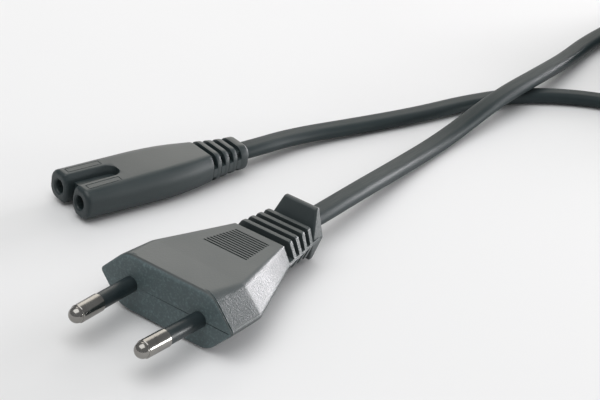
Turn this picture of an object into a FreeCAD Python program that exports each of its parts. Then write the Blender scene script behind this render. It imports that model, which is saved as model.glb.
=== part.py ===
import FreeCAD
import Part
import Sketcher
import math
import os

# A europlug moulded on a flat two-core lead, with a figure-eight connector on the lead's far end.
# The plug lies on a table at z = 0 with its pins towards -Y. All sizes are millimetres.

SIZES = {
    # plug moulding: hexagonal sections at the front, at the knee and at the end of the taper,
    # with widths and flats taken over the sharp edges, before they are rounded
    "plug_length": 48.2,
    "plug_width": 36.0,
    "plug_height": 13.4,
    "front_flat": 23.6,
    "front_corner_radius": 5.0,
    "knee_setback": 10.4,
    "knee_flat": 24.4,
    "knee_height": 11.4,
    "knee_corner_radius": 2.6,
    "taper_width": 18.5,
    "taper_flat": 13.6,
    "taper_height": 7.9,
    "taper_corner_radius": 0.7,
    "side_edge_radius": 1.1,
    "front_edge_radius": 0.45,
    "front_roll_radius": 1.0,
    # strain relief: grooves cut round a core, with an uncut rail at mid height, and a pull flange
    "relief_flat": 11.2,
    "relief_core_width": 9.4,
    "relief_core_height": 4.9,
    "rail_height": 0.9,
    "rib_count": 4,
    "rib_pitch": 2.61,
    "groove_width": 1.39,
    "first_groove_width": 2.2,
    "last_groove_width": 3.55,
    "flange_width": 13.3,
    "flange_flat": 9.1,
    "flange_height": 13.4,
    "flange_edge": 1.3,
    "flange_middle": 3.9,
    # grip lines on the broad faces
    "grip_rear": 2.6,
    "grip_count": 13,
    "grip_pitch": 0.8,
    "grip_line": 0.4,
    "grip_depth": 0.3,
    "grip_front_width": 11.8,
    "grip_rear_width": 9.0,
    # pins, sleeves and the bridge that carries them
    "pin_length": 19.0,
    "pin_diameter": 4.0,
    "pin_tip_radius": 1.8,
    "pin_spacing_base": 18.6,
    "pin_spacing_tip": 17.5,
    "pin_neck_diameter": 2.8,
    "pin_collar_diameter": 4.8,
    "pin_collar_start": 5.0,
    "pin_collar_length": 2.0,
    "sleeve_length": 10.5,
    "sleeve_diameter": 3.65,
    "bridge_front": 3.0,
    "bridge_length": 6.0,
    "bridge_width": 26.0,
    "bridge_height": 6.6,
    "bridge_corner_radius": 1.2,
    "pin_crimp_start": 10.5,
    "pin_crimp_length": 5.5,
    "pin_crimp_diameter": 3.2,
    # flat cord and its two cores
    "cord_width": 5.5,
    "cord_thickness": 3.3,
    "conductor_diameter": 1.1,
    "core_diameter": 2.3,
    "core_spacing": 2.5,
    "core_bend_radius": 3.2,
    "strip_length": 1.2,
    "plug_jacket_start": 29.0,
    "plug_core_spread": 5.6,
    # figure-eight connector
    "connector_x": -47.3,
    "connector_y": 7.8,
    "connector_turn": 14.55,
    "connector_length": 49.7,
    "connector_width": 16.1,
    "connector_height": 8.2,
    "connector_straight": 26.0,
    "connector_waist_end": 46.0,
    "connector_waist_width": 8.9,
    "connector_end_width": 8.6,
    "connector_shoulder_radius": 60.0,
    "connector_waist_radius": 35.0,
    "connector_side_radius": 3.3,
    "connector_edge_radius": 0.9,
    "slot_width": 4.6,
    "slot_depth": 2.1,
    "slot_length": 13.2,
    "slot_end_radius": 2.1,
    "contact_spacing": 8.6,
    "contact_hole_diameter": 3.2,
    "contact_front": 3.0,
    "contact_length": 15.0,
    "contact_diameter": 3.4,
    "contact_bore": 2.44,
    "contact_bore_depth": 14.0,
    "contact_tail_diameter": 1.9,
    "contact_crimp_gap": 2.0,
    "contact_crimp_length": 5.0,
    "contact_crimp_diameter": 2.6,
    "insert_barrel_diameter": 5.0,
    "insert_length": 17.0,
    "insert_web_height": 2.4,
    "connector_groove_start": 37.55,
    "connector_groove_count": 4,
    "connector_groove_pitch": 2.72,
    "connector_groove_width": 1.3,
    "connector_core_width": 7.0,
    "connector_core_height": 5.6,
    "connector_rail_height": 1.5,
    "connector_jacket_start": 34.0,
    "connector_core_spread": 4.5,
    # coil of the put-away length and its tie
    "coil_x": 20.2,
    "coil_y": 238.0,
    "coil_columns": 2,
    "coil_rows": 4,
    "coil_middle_radius": 29.35,
    "coil_strand_gap": 0.2,
    "coil_corner_radius": 1.5,
    "coil_stub": 20.0,
    "coil_lead_in": 20.0,
    "coil_lead_out": 13.0,
    "tie_thickness": 0.8,
    "tie_width_degrees": 14.0,
}

# Where the free cord lies between its ends, chosen along its run over the table
PLUG_LEAD_ROUTE = [
    (-2.0, 60.0, 5.3),
    (-5.0, 84.0, 2.5),
    (-6.8, 109.0, 1.4),
    (-6.7, 135.0, 5.6),
    (-6.9, 160.0, 5.6),
    (-9.4, 180.0, 3.4),
]
CONNECTOR_LEAD_ROUTE = [
    (-33.0, 76.0, 2.6),
    (-26.4, 96.5, 1.75),
    (-19.6, 115.0, 1.7),
    (-14.7, 133.0, 1.7),
    (-7.6, 150.0, 1.7),
    (5.0, 163.5, 1.7),
    (21.5, 171.5, 1.9),
    (37.0, 180.5, 4.6),
    (47.8, 191.5, 9.4),
]

DOC = FreeCAD.newDocument("europlug_lead")
SHEET = DOC.addObject("Spreadsheet::Sheet", "Sizes")
for row, (alias, number) in enumerate(SIZES.items(), 1):
    SHEET.set(f"A{row}", alias)
    SHEET.set(f"B{row}", str(number))
    SHEET.setAlias(f"B{row}", alias)
DOC.recompute()


class Size:
    """A size: its value, and the sheet expression that gives it."""

    def __init__(self, text, value):
        self.text = text
        self.value = value

    def __add__(self, other):
        other = as_size(other)
        return Size(f"({self.text} + {other.text})", self.value + other.value)

    def __sub__(self, other):
        other = as_size(other)
        return Size(f"({self.text} - {other.text})", self.value - other.value)

    def __mul__(self, other):
        other = as_size(other)
        return Size(f"({self.text} * {other.text})", self.value * other.value)

    def __truediv__(self, other):
        other = as_size(other)
        return Size(f"({self.text} / {other.text})", self.value / other.value)

    def __neg__(self):
        return Size(f"(-{self.text})", -self.value)


def as_size(number):
    if isinstance(number, Size):
        return number
    return Size(str(float(number)), float(number))


def size(alias):
    return Size(f"Sizes.{alias}", float(SHEET.get(alias)))


ZERO = as_size(0)


# Sketch helpers


def new_body(name):
    body = DOC.addObject("PartDesign::Body", name)
    body.Label = name
    return body


def origin_feature(body, role):
    return next(f for f in body.Origin.OriginFeatures if f.Role == role)


def new_sketch(body, name, plane, away=ZERO):
    """A sketch on one of the body's planes, moved along the plane's normal."""
    sketch = body.newObject("Sketcher::SketchObject", name)
    sketch.AttachmentSupport = [(origin_feature(body, plane), "")]
    sketch.MapMode = "FlatFace"
    sketch.setExpression("AttachmentOffset.Base.z", away.text)
    return sketch


def bind(sketch, kind, ends, target):
    index = sketch.addConstraint(Sketcher.Constraint(kind, *ends, target.value))
    name = f"{kind}_{index}"
    sketch.renameConstraint(index, name)
    sketch.setExpression("Constraints." + name, target.text)


def hold(sketch, geometry, end, x, y):
    """Fix a sketch point at (x, y)."""
    for kind, axis, place in (("DistanceX", -2, x), ("DistanceY", -1, y)):
        if place.value == 0:
            sketch.addConstraint(Sketcher.Constraint("PointOnObject", geometry, end, axis))
        elif place.value > 0:
            bind(sketch, kind, (-1, 1, geometry, end), place)
        else:
            bind(sketch, kind, (geometry, end, -1, 1), -place)


def corner_arc(before, corner, after, radius):
    """Start, middle and end of the arc that rounds a corner."""
    back = (before - corner).normalize()
    ahead = (after - corner).normalize()
    half = back.getAngle(ahead) / 2
    inward = (back + ahead).normalize()
    centre = corner + inward * (radius / math.sin(half))
    reach = radius / math.tan(half)
    return corner + back * reach, centre - inward * radius, corner + ahead * reach


def draw(sketch, corners, closed=True):
    """Draw a polygon, or an open line, through corners given as (x, y) or (x, y, radius)."""
    count = len(corners)
    points = [FreeCAD.Vector(c[0].value, c[1].value, 0) for c in corners]
    arcs = {}
    for i, corner in enumerate(corners):
        if len(corner) == 3:
            after = points[(i + 1) % count]
            arcs[i] = corner_arc(points[i - 1], points[i], after, corner[2].value)
    lines = {}
    for i in range(count if closed else count - 1):
        j = (i + 1) % count
        start = arcs[i][2] if i in arcs else points[i]
        end = arcs[j][0] if j in arcs else points[j]
        lines[i] = sketch.addGeometry(Part.LineSegment(start, end), False)
    for i, corner in enumerate(corners):
        came = lines.get((i - 1) % count)
        goes = lines.get(i)
        if i in arcs:
            round_corner(sketch, corner, arcs[i], came, goes)
        elif came is None or goes is None:
            hold(sketch, came if goes is None else goes, 2 if goes is None else 1, *corner)
        else:
            sketch.addConstraint(Sketcher.Constraint("Coincident", came, 2, goes, 1))
            hold(sketch, goes, 1, *corner)


def round_corner(sketch, corner, arc, came, goes):
    x, y, radius = corner
    start, middle, end = arc
    left_turn = (middle - start).cross(end - middle).z > 0
    ends = (start, middle, end) if left_turn else (end, middle, start)
    curve = sketch.addGeometry(Part.Arc(*ends), False)
    sketch.addConstraint(Sketcher.Constraint("Tangent", came, 2, curve, 1 if left_turn else 2))
    sketch.addConstraint(Sketcher.Constraint("Tangent", goes, 1, curve, 2 if left_turn else 1))
    bind(sketch, "Radius", (curve,), radius)
    point = sketch.addGeometry(Part.Point(FreeCAD.Vector(x.value, y.value, 0)), True)
    sketch.addConstraint(Sketcher.Constraint("PointOnObject", point, 1, came))
    sketch.addConstraint(Sketcher.Constraint("PointOnObject", point, 1, goes))
    hold(sketch, point, 1, x, y)


def draw_circle(sketch, x, y, diameter):
    centre = FreeCAD.Vector(x.value, y.value, 0)
    circle = Part.Circle(centre, FreeCAD.Vector(0, 0, 1), diameter.value / 2)
    curve = sketch.addGeometry(circle, False)
    bind(sketch, "Diameter", (curve,), diameter)
    hold(sketch, curve, 3, x, y)


def hexagon(width, flat, height, corner_radius, edge_radius):
    return [
        (width / 2, ZERO, edge_radius),
        (flat / 2, height / 2, corner_radius),
        (-flat / 2, height / 2, corner_radius),
        (-width / 2, ZERO, edge_radius),
        (-flat / 2, -height / 2, corner_radius),
        (flat / 2, -height / 2, corner_radius),
    ]


def rectangle(left, right, low, high, radius=None):
    corners = [(right, low), (right, high), (left, high), (left, low)]
    if radius is None:
        return corners
    return [(x, y, radius) for x, y in corners]


def groove_outlines(reach, core_width, core_height, rail_height):
    """What a groove takes away above and below the rail, outside the core."""
    upper = [
        (core_width / 2, rail_height / 2),
        (reach, rail_height / 2),
        (reach, reach),
        (-reach, reach),
        (-reach, rail_height / 2),
        (-core_width / 2, rail_height / 2),
        (-core_width / 2, core_height / 2),
        (core_width / 2, core_height / 2),
    ]
    lower = [(x, -y) for x, y in upper]
    return upper, lower


# Feature helpers


def pad(body, name, sketch, length, backwards=False, symmetric=False):
    feature = body.newObject("PartDesign::Pad", name)
    feature.Profile = sketch
    feature.setExpression("Length", length.text)
    feature.Reversed = backwards
    if symmetric:
        feature.SideType = "Symmetric"
    DOC.recompute()
    return feature


def pocket(body, name, sketch, length, backwards=False):
    before = body.Shape.Volume
    feature = body.newObject("PartDesign::Pocket", name)
    feature.Profile = sketch
    feature.setExpression("Length", length.text)
    feature.Reversed = backwards
    DOC.recompute()
    if body.Shape.Volume > before - 1e-6:
        raise RuntimeError(f"{name} cuts nothing")
    return feature


def loft(body, name, sections):
    feature = body.newObject("PartDesign::AdditiveLoft", name)
    feature.Profile = sections[0]
    feature.Sections = sections[1:]
    feature.Ruled = True
    DOC.recompute()
    return feature


def revolve(body, name, sketch, axis):
    feature = body.newObject("PartDesign::Revolution", name)
    feature.Profile = sketch
    feature.ReferenceAxis = (origin_feature(body, axis), [""])
    feature.Angle = 360
    DOC.recompute()
    return feature


def repeat(body, name, feature, axis, pitch, count):
    pattern = body.newObject("PartDesign::LinearPattern", name)
    pattern.Originals = [feature]
    pattern.Direction = (origin_feature(body, axis), [""])
    pattern.setExpression("Length", (pitch * (count - 1)).text)
    pattern.setExpression("Occurrences", count.text)
    body.Tip = pattern
    DOC.recompute()
    return pattern


def mirror(body, name, feature, plane):
    mirrored = body.newObject("PartDesign::Mirrored", name)
    mirrored.Originals = [feature]
    mirrored.MirrorPlane = (origin_feature(body, plane), [""])
    body.Tip = mirrored
    DOC.recompute()
    return mirrored


def fillet(body, name, radius, chosen):
    """Round those edges of the body so far that chosen(edge) picks."""
    base = body.Tip
    names = [f"Edge{i}" for i, edge in enumerate(base.Shape.Edges, 1) if chosen(edge)]
    feature = body.newObject("PartDesign::Fillet", name)
    feature.Base = (base, names)
    feature.setExpression("Radius", radius.text)
    DOC.recompute()
    return feature


def pipe(body, name, profile, spine):
    feature = body.newObject("PartDesign::AdditivePipe", name)
    feature.Profile = profile
    feature.Spine = (spine, [""])
    DOC.recompute()
    return feature


def cut(name, base, tools):
    """The base with the room that each tool fills taken out of it."""
    for i, tool in enumerate(tools):
        result = DOC.addObject("Part::Cut", name if i == len(tools) - 1 else f"{name}_{i}")
        result.Base = base
        result.Tool = tool
        base = result
    DOC.recompute()
    base.Label = name
    return base


def place(thing, x, y, z, turn=None):
    thing.setExpression("Placement.Base.x", x.text)
    thing.setExpression("Placement.Base.y", y.text)
    thing.setExpression("Placement.Base.z", z.text)
    if turn is not None:
        thing.setExpression("Placement.Rotation.Angle", turn.text)
    DOC.recompute()


# The plug's own frame: y = 0 at the front face, +y to the back, z = 0 at mid height
FRONT_Y = (size("pin_length") - size("plug_length")) / 2
MIDDLE_Z = size("plug_height") / 2
CONNECTOR_Z = size("connector_height") / 2
CONNECTOR_TURN = -size("connector_turn")
SIDES = {"left": -1, "right": 1}
CORES = {"brown": "left", "blue": "right"}
Z_AXIS = FreeCAD.Vector(0, 0, 1)


def on_plug(thing):
    place(thing, ZERO, FRONT_Y, MIDDLE_Z)
    return thing


def on_connector(thing):
    thing.Placement.Rotation = FreeCAD.Rotation(Z_AXIS, CONNECTOR_TURN.value)
    place(thing, size("connector_x"), size("connector_y"), CONNECTOR_Z, CONNECTOR_TURN)
    return thing


# Plug


def plug_moulding():
    body = new_body("plug_moulding")
    edge = size("side_edge_radius")
    taper_corner = size("taper_corner_radius")
    stations = [
        ("knee", size("knee_setback"), "plug_width", "knee_flat", "knee_height", size("knee_corner_radius")),
        ("taper", taper_end(), "taper_width", "taper_flat", "taper_height", taper_corner),
        ("relief", relief_end(), "flange_width", "relief_flat", "taper_height", taper_corner),
    ]
    sections = front_sections(body)
    for name, setback, width, flat, height, corner in stations:
        section = new_sketch(body, f"{name}_section", "XZ_Plane", -setback)
        draw(section, hexagon(size(width), size(flat), size(height), corner, edge))
        sections.append(section)
    loft(body, "plug_form", sections)
    cut_grooves(body)
    add_flange(body)
    cut_grip_lines(body)
    return on_plug(body)


def front_sections(body):
    """The face's edge is rolled off: wide along the broad faces, tight along the sloping sides."""
    soft = size("front_roll_radius")
    tight = size("front_edge_radius")
    lean = (size("plug_width") - size("front_flat")) / size("plug_height")
    stretch = Size(f"sqrt(1 + ({lean.text})^2)", math.sqrt(1 + lean.value**2))
    sections = []
    for turn, share in ((0, 1.0), (25, 0.13), (45, 0.0), (65, 0.0), (90, 0.0)):
        angle = math.radians(turn)
        section = new_sketch(body, f"front_section_{turn}", "XZ_Plane", -(soft * (1 - math.cos(angle))))
        width = size("plug_width") - stretch * tight * (2 * share)
        height = size("plug_height") - soft * (2 - 2 * math.sin(angle))
        flat = width - lean * height
        edge = size("side_edge_radius") - tight * share
        draw(section, hexagon(width, flat, height, size("front_corner_radius"), edge))
        sections.append(section)
    return sections


def relief_end():
    """The relief runs on into the flange, between its thin edge and its thick middle."""
    return size("plug_length") - size("flange_edge")


def rib_width():
    return size("rib_pitch") - size("groove_width")


def taper_end():
    """The taper ends where the first groove begins, counted from the back."""
    ribs = size("rib_pitch") * (size("rib_count") - 1) + rib_width()
    return relief_end() - size("last_groove_width") - ribs - size("first_groove_width")


def groove_section(body, name, setback):
    sketch = new_sketch(body, f"{name}_section", "XZ_Plane", -setback)
    core_width = size("relief_core_width")
    core_height = size("relief_core_height")
    for outline in groove_outlines(size("plug_width") / 2, core_width, core_height, size("rail_height")):
        draw(sketch, outline)
    return sketch


def cut_grooves(body):
    """A wide groove behind the taper, narrow ones between the ribs, and one that ends in the flange."""
    first_rib = taper_end() + size("first_groove_width")
    last = relief_end() - size("last_groove_width")
    section = groove_section(body, "first_groove", taper_end())
    pocket(body, "first_groove", section, size("first_groove_width"))
    section = groove_section(body, "last_groove", last)
    pocket(body, "last_groove", section, size("last_groove_width"))
    section = groove_section(body, "groove", first_rib + rib_width())
    groove = pocket(body, "groove", section, size("groove_width"))
    repeat(body, "grooves", groove, "Y_Axis", size("rib_pitch"), size("rib_count") - 1)


def add_flange(body):
    half_height = size("flange_height") / 2
    back = size("plug_length")
    levels = [
        ("low", -half_height, "flange_flat", "flange_edge"),
        ("middle", ZERO, "flange_width", "flange_middle"),
        ("high", half_height, "flange_flat", "flange_edge"),
    ]
    sections = []
    for name, level, width, thickness in levels:
        section = new_sketch(body, f"flange_{name}", "XY_Plane", level)
        half_width = size(width) / 2
        draw(section, rectangle(-half_width, half_width, back - size(thickness), back))
        sections.append(section)
    loft(body, "flange", sections)


def cut_grip_lines(body):
    """Fine grooves across the sloping broad faces, in a field that narrows with the taper."""
    drop = (size("knee_height") - size("taper_height")) / 2
    run = taper_end() - size("knee_setback")
    sketch = new_sketch(body, "grip_lines_field", "XY_Plane", size("knee_height") / 2)
    sketch.AttachmentOffset.Rotation = FreeCAD.Rotation(FreeCAD.Vector(1, 0, 0), -1)
    sketch.setExpression("AttachmentOffset.Base.y", size("knee_setback").text)
    sketch.setExpression("AttachmentOffset.Rotation.Angle", f"-atan({(drop / run).text})")
    count = int(size("grip_count").value)
    front = size("grip_front_width")
    narrowing = (front - size("grip_rear_width")) / (count - 1)
    for i in range(count):
        half = (front - narrowing * i) / 2
        near = run - size("grip_rear") - size("grip_line") - size("grip_pitch") * (count - 1 - i)
        draw(sketch, rectangle(-half, half, near, near + size("grip_line")))
    lines = pocket(body, "grip_lines", sketch, size("grip_depth"))
    mirror(body, "grip_lines_below", lines, "XY_Plane")


def pin_profile():
    """Half of a pin's section: rounded tip, neck under the sleeve, collar and crimp barrel."""
    radius = size("pin_diameter") / 2
    neck = size("pin_neck_diameter") / 2
    collar = size("pin_collar_diameter") / 2
    crimp = size("pin_crimp_diameter") / 2
    wire = size("conductor_diameter") / 2
    tip = -size("pin_length")
    collar_start = size("pin_collar_start")
    collar_end = collar_start + size("pin_collar_length")
    crimp_start = size("pin_crimp_start")
    crimp_end = crimp_start + size("pin_crimp_length")
    return [
        (ZERO, tip),
        (radius, tip, size("pin_tip_radius")),
        (radius, -size("sleeve_length")),
        (neck, -size("sleeve_length")),
        (neck, collar_start),
        (collar, collar_start),
        (collar, collar_end),
        (neck, collar_end),
        (neck, crimp_start),
        (crimp, crimp_start),
        (crimp, crimp_end),
        (wire, crimp_end),
        (wire, crimp_start),
        (ZERO, crimp_start),
    ]


def pin_lean():
    return (size("pin_spacing_base") - size("pin_spacing_tip")) / 2 / size("pin_length")


def on_pin(thing, side):
    """Pins lean towards each other at their tips."""
    lean = Size(f"atan({pin_lean().text})", math.degrees(math.atan(pin_lean().value)))
    sign = SIDES[side]
    thing.Placement.Rotation = FreeCAD.Rotation(Z_AXIS, -sign)
    place(thing, size("pin_spacing_base") / 2 * sign, FRONT_Y, MIDDLE_Z, lean * -sign)
    thing.Placement.Rotation.Axis = Z_AXIS
    return thing


def pin(side):
    body = new_body(f"pin_{side}")
    sketch = new_sketch(body, f"pin_{side}_profile", "XY_Plane")
    draw(sketch, pin_profile())
    revolve(body, f"pin_{side}_turned", sketch, "Y_Axis")
    return on_pin(body, side)


def pin_sleeve(side):
    body = new_body(f"pin_sleeve_{side}")
    sketch = new_sketch(body, f"pin_sleeve_{side}_profile", "XY_Plane")
    inside = size("pin_neck_diameter") / 2
    outside = size("sleeve_diameter") / 2
    draw(sketch, rectangle(inside, outside, -size("sleeve_length"), size("pin_collar_start")))
    revolve(body, f"pin_sleeve_{side}_tube", sketch, "Y_Axis")
    return on_pin(body, side)


def pin_bridge_block():
    body = new_body("pin_bridge_block")
    sketch = new_sketch(body, "bridge_section", "XZ_Plane", -size("bridge_front"))
    half_width = size("bridge_width") / 2
    half_height = size("bridge_height") / 2
    corner = size("bridge_corner_radius")
    draw(sketch, rectangle(-half_width, half_width, -half_height, half_height, corner))
    pad(body, "bridge_bar", sketch, size("bridge_length"), backwards=True)
    return on_plug(body)


def wire_path(sign, crimp_spacing, lean, near, crimp_end, spread, jacket_start):
    """From the jacket's end, across to the crimp's axis and along that to near."""
    straight = crimp_end + size("strip_length")
    bend = size("core_bend_radius")

    upright = Size(f"cos(atan({lean.text}))", math.cos(math.atan(lean.value)))

    def on_axis(along):
        back = along * upright
        return (crimp_spacing / 2 + lean * back) * sign, back

    return [
        (size("core_spacing") / 2 * sign, jacket_start),
        (size("core_spacing") / 2 * sign, jacket_start - spread, bend),
        (*on_axis(straight + spread / 3), bend),
        on_axis(near),
    ]


def wire(name, sign, diameter, path, jacket_start):
    body = new_body(name)
    spine = new_sketch(body, f"{name}_path", "XY_Plane")
    draw(spine, path, closed=False)
    section = new_sketch(body, f"{name}_section", "XZ_Plane", -jacket_start)
    draw_circle(section, size("core_spacing") / 2 * sign, ZERO, diameter)
    pipe(body, f"{name}_run", section, spine)
    return body


def wires(end, side_spacing, lean, crimp_start, crimp_length, spread, jacket_start, put):
    """The two cores of one end: insulation solids, and conductors that reach into the crimps."""
    insulation = {}
    conductors = {}
    for colour, side in CORES.items():
        sign = SIDES[side]
        crimp_end = crimp_start + crimp_length
        stripped = crimp_end + size("strip_length")
        common = (sign, side_spacing, lean)
        bare = wire_path(*common, crimp_start, crimp_end, spread, jacket_start)
        covered = wire_path(*common, stripped, crimp_end, spread, jacket_start)
        name = f"{end}_conductor_{colour}"
        conductors[colour] = put(wire(name, sign, size("conductor_diameter"), bare, jacket_start))
        name = f"{end}_core_{colour}_solid"
        insulation[colour] = put(wire(name, sign, size("core_diameter"), covered, jacket_start))
    return insulation, conductors


def plug_wires():
    return wires(
        "plug",
        size("pin_spacing_base"),
        pin_lean(),
        size("pin_crimp_start"),
        size("pin_crimp_length"),
        size("plug_core_spread"),
        size("plug_jacket_start"),
        on_plug,
    )


# Connector


def connector_moulding():
    body = new_body("connector_moulding")
    plan = new_sketch(body, "connector_plan", "XY_Plane")
    draw(plan, connector_plan())
    pad(body, "connector_form", plan, size("connector_height"), symmetric=True)
    level = size("connector_height").value / 2 - 0.001

    def long_edge(edge):
        box = edge.BoundBox
        flat = box.ZLength < 0.001 and abs(box.ZMax) > level
        return flat and box.YLength > 0.001

    fillet(body, "connector_sides", size("connector_side_radius"), long_edge)
    length = size("connector_length").value

    def end_edge(edge):
        return edge.BoundBox.YMax < 0.001 or edge.BoundBox.YMin > length - 0.001

    fillet(body, "connector_ends", size("connector_edge_radius"), end_edge)
    cut_slots(body)
    cut_contact_holes(body)
    cut_connector_grooves(body)
    return on_connector(body)


def connector_plan():
    wide = size("connector_width") / 2
    waist = size("connector_waist_width") / 2
    end = size("connector_end_width") / 2
    length = size("connector_length")
    right = [
        (wide, ZERO),
        (wide, size("connector_straight"), size("connector_shoulder_radius")),
        (waist, size("connector_waist_end"), size("connector_waist_radius")),
        (end, length),
    ]
    left = [(-corner[0], *corner[1:]) for corner in reversed(right)]
    return right + left


def cut_slots(body):
    half_height = size("connector_height") / 2
    half = size("slot_width") / 2
    sketch = new_sketch(body, "slot_outline", "XY_Plane", half_height)
    end = size("slot_length")
    radius = size("slot_end_radius")
    front = -size("connector_edge_radius")
    draw(sketch, [(half, front), (half, end, radius), (-half, end, radius), (-half, front)])
    slot = pocket(body, "slot", sketch, size("slot_depth"))
    mirror(body, "slot_below", slot, "XY_Plane")


def cut_contact_holes(body):
    sketch = new_sketch(body, "contact_holes_outline", "XZ_Plane")
    for sign in SIDES.values():
        x = size("contact_spacing") / 2 * sign
        draw_circle(sketch, x, ZERO, size("contact_hole_diameter"))
    pocket(body, "contact_holes", sketch, size("contact_front"))


def cut_connector_grooves(body):
    sketch = new_sketch(body, "connector_groove_section", "XZ_Plane", -size("connector_groove_start"))
    core_width = size("connector_core_width")
    core_height = size("connector_core_height")
    rail = size("connector_rail_height")
    for outline in groove_outlines(size("connector_width") / 2, core_width, core_height, rail):
        draw(sketch, outline)
    groove = pocket(body, "connector_groove", sketch, size("connector_groove_width"))
    pitch = size("connector_groove_pitch")
    repeat(body, "connector_grooves", groove, "Y_Axis", pitch, size("connector_groove_count"))


def connector_insert_block():
    """Two barrels joined by a web, around the contacts."""
    body = new_body("connector_insert_block")
    front = size("contact_front")
    barrels = new_sketch(body, "insert_barrels_outline", "XZ_Plane", -front)
    for sign in SIDES.values():
        x = size("contact_spacing") / 2 * sign
        draw_circle(barrels, x, ZERO, size("insert_barrel_diameter"))
    web = new_sketch(body, "insert_web_outline", "XZ_Plane", -front)
    half_width = size("contact_spacing") / 2
    half_height = size("insert_web_height") / 2
    draw(web, rectangle(-half_width, half_width, -half_height, half_height))
    pad(body, "insert_web", web, size("insert_length"), backwards=True)
    pad(body, "insert_barrels", barrels, size("insert_length"), backwards=True)
    return on_connector(body)


def contact_rooms():
    """The round rooms that the contacts' sockets take up in the insert."""
    body = new_body("contact_rooms")
    sketch = new_sketch(body, "contact_rooms_outline", "XZ_Plane", -size("contact_front"))
    for sign in SIDES.values():
        x = size("contact_spacing") / 2 * sign
        draw_circle(sketch, x, ZERO, size("contact_diameter"))
    body.AllowCompound = True
    pad(body, "contact_rooms_form", sketch, size("contact_length"), backwards=True)
    return on_connector(body)


def contact_crimp_start():
    return size("contact_front") + size("contact_length") + size("contact_crimp_gap")


def contact(side):
    body = new_body(f"contact_{side}")
    sketch = new_sketch(body, f"contact_{side}_profile", "XY_Plane")
    outside = size("contact_diameter") / 2
    bore = size("contact_bore") / 2
    tail = size("contact_tail_diameter") / 2
    crimp = size("contact_crimp_diameter") / 2
    wire_radius = size("conductor_diameter") / 2
    front = size("contact_front")
    back = front + size("contact_length")
    bore_end = front + size("contact_bore_depth")
    crimp_start = contact_crimp_start()
    crimp_end = crimp_start + size("contact_crimp_length")
    profile = [
        (bore, front),
        (outside, front),
        (outside, back),
        (tail, back),
        (tail, crimp_start),
        (crimp, crimp_start),
        (crimp, crimp_end),
        (wire_radius, crimp_end),
        (wire_radius, crimp_start),
        (ZERO, crimp_start),
        (ZERO, bore_end),
        (bore, bore_end),
    ]
    draw(sketch, profile)
    revolve(body, f"contact_{side}_turned", sketch, "Y_Axis")
    sideways = size("contact_spacing") / 2 * SIDES[side]
    radians = Size(f"cos({CONNECTOR_TURN.text})", math.cos(math.radians(CONNECTOR_TURN.value)))
    across = Size(f"sin({CONNECTOR_TURN.text})", math.sin(math.radians(CONNECTOR_TURN.value)))
    body.Placement.Rotation = FreeCAD.Rotation(Z_AXIS, CONNECTOR_TURN.value)
    x = size("connector_x") + sideways * radians
    y = size("connector_y") + sideways * across
    place(body, x, y, CONNECTOR_Z, CONNECTOR_TURN)
    return body


def connector_wires():
    return wires(
        "connector",
        size("contact_spacing"),
        ZERO,
        contact_crimp_start(),
        size("contact_crimp_length"),
        size("connector_core_spread"),
        size("connector_jacket_start"),
        on_connector,
    )


# Coil and tie


def strand_pitch():
    gap = size("coil_strand_gap")
    return size("cord_width") + gap, size("cord_thickness") + gap


def coil_section():
    """The bundle of turns: columns side by side and rows on each other, above the tie's band."""
    across, up = strand_pitch()
    half_width = across * size("coil_columns") / 2
    low = size("tie_thickness")
    middle = size("coil_middle_radius")
    return middle - half_width, middle + half_width, low, low + up * size("coil_rows")


def strand_level(row):
    up = strand_pitch()[1]
    return size("tie_thickness") + up * (row + 0.5)


def outer_strand_radius():
    across = strand_pitch()[0]
    return coil_section()[1] - across / 2


def stadium(x, z):
    """The flat cord's section round (x, z)."""
    wide = size("cord_width") / 2
    thick = size("cord_thickness") / 2
    radius = size("cord_thickness") * 0.499
    return rectangle(x - wide, x + wide, z - thick, z + thick, radius)


def coil():
    """The outer shape of the wound turns, with the two strands that leave it."""
    body = new_body("cord_coil")
    sketch = new_sketch(body, "coil_section", "XZ_Plane")
    draw(sketch, rectangle(*coil_section(), size("coil_corner_radius")))
    revolve(body, "coil_ring", sketch, "Z_Axis")
    stub = size("coil_stub")
    ends = (("in", -outer_strand_radius(), 0), ("out", outer_strand_radius(), size("coil_rows").value - 1))
    for name, x, row in ends:
        section = new_sketch(body, f"coil_{name}_section", "XZ_Plane", stub)
        draw(section, stadium(x, strand_level(row)))
        pad(body, f"coil_{name}", section, stub, backwards=True)
    place(body, size("coil_x"), size("coil_y"), ZERO)
    return body


def coil_tie():
    """A band round the bundle, over a short part of the ring."""
    body = new_body("coil_tie")
    sketch = new_sketch(body, "tie_section", "YZ_Plane")
    inner, outer, low, high = coil_section()
    corner = size("coil_corner_radius")
    band = size("tie_thickness")
    draw(sketch, rectangle(inner, outer, low, high, corner))
    draw(sketch, rectangle(inner - band, outer + band, low - band, high + band, corner + band))
    feature = revolve(body, "tie_band", sketch, "Z_Axis")
    feature.Midplane = True
    feature.setExpression("Angle", size("tie_width_degrees").text)
    place(body, size("coil_x"), size("coil_y"), ZERO)
    return body


# Cord


def rounded_path(name, points):
    """Straight runs joined by arcs as large as the two runs allow."""
    edges = []
    radii = []
    start = points[0]
    for before, corner, after in zip(points, points[1:], points[2:]):
        shorter = min(before.distanceToPoint(corner), corner.distanceToPoint(after))
        turn = (corner - before).getAngle(after - corner)
        radius = 0.45 * shorter / math.tan(turn / 2)
        first, middle, last = corner_arc(before, corner, after, radius)
        edges.append(Part.LineSegment(start, first).toShape())
        edges.append(Part.Arc(first, middle, last).toShape())
        radii.append(radius)
        start = last
    edges.append(Part.LineSegment(start, points[-1]).toShape())
    path = Part.Wire(edges)
    print(f"{name}: length {path.Length:.1f}, arc radii", [round(r, 1) for r in radii])
    return path


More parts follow.
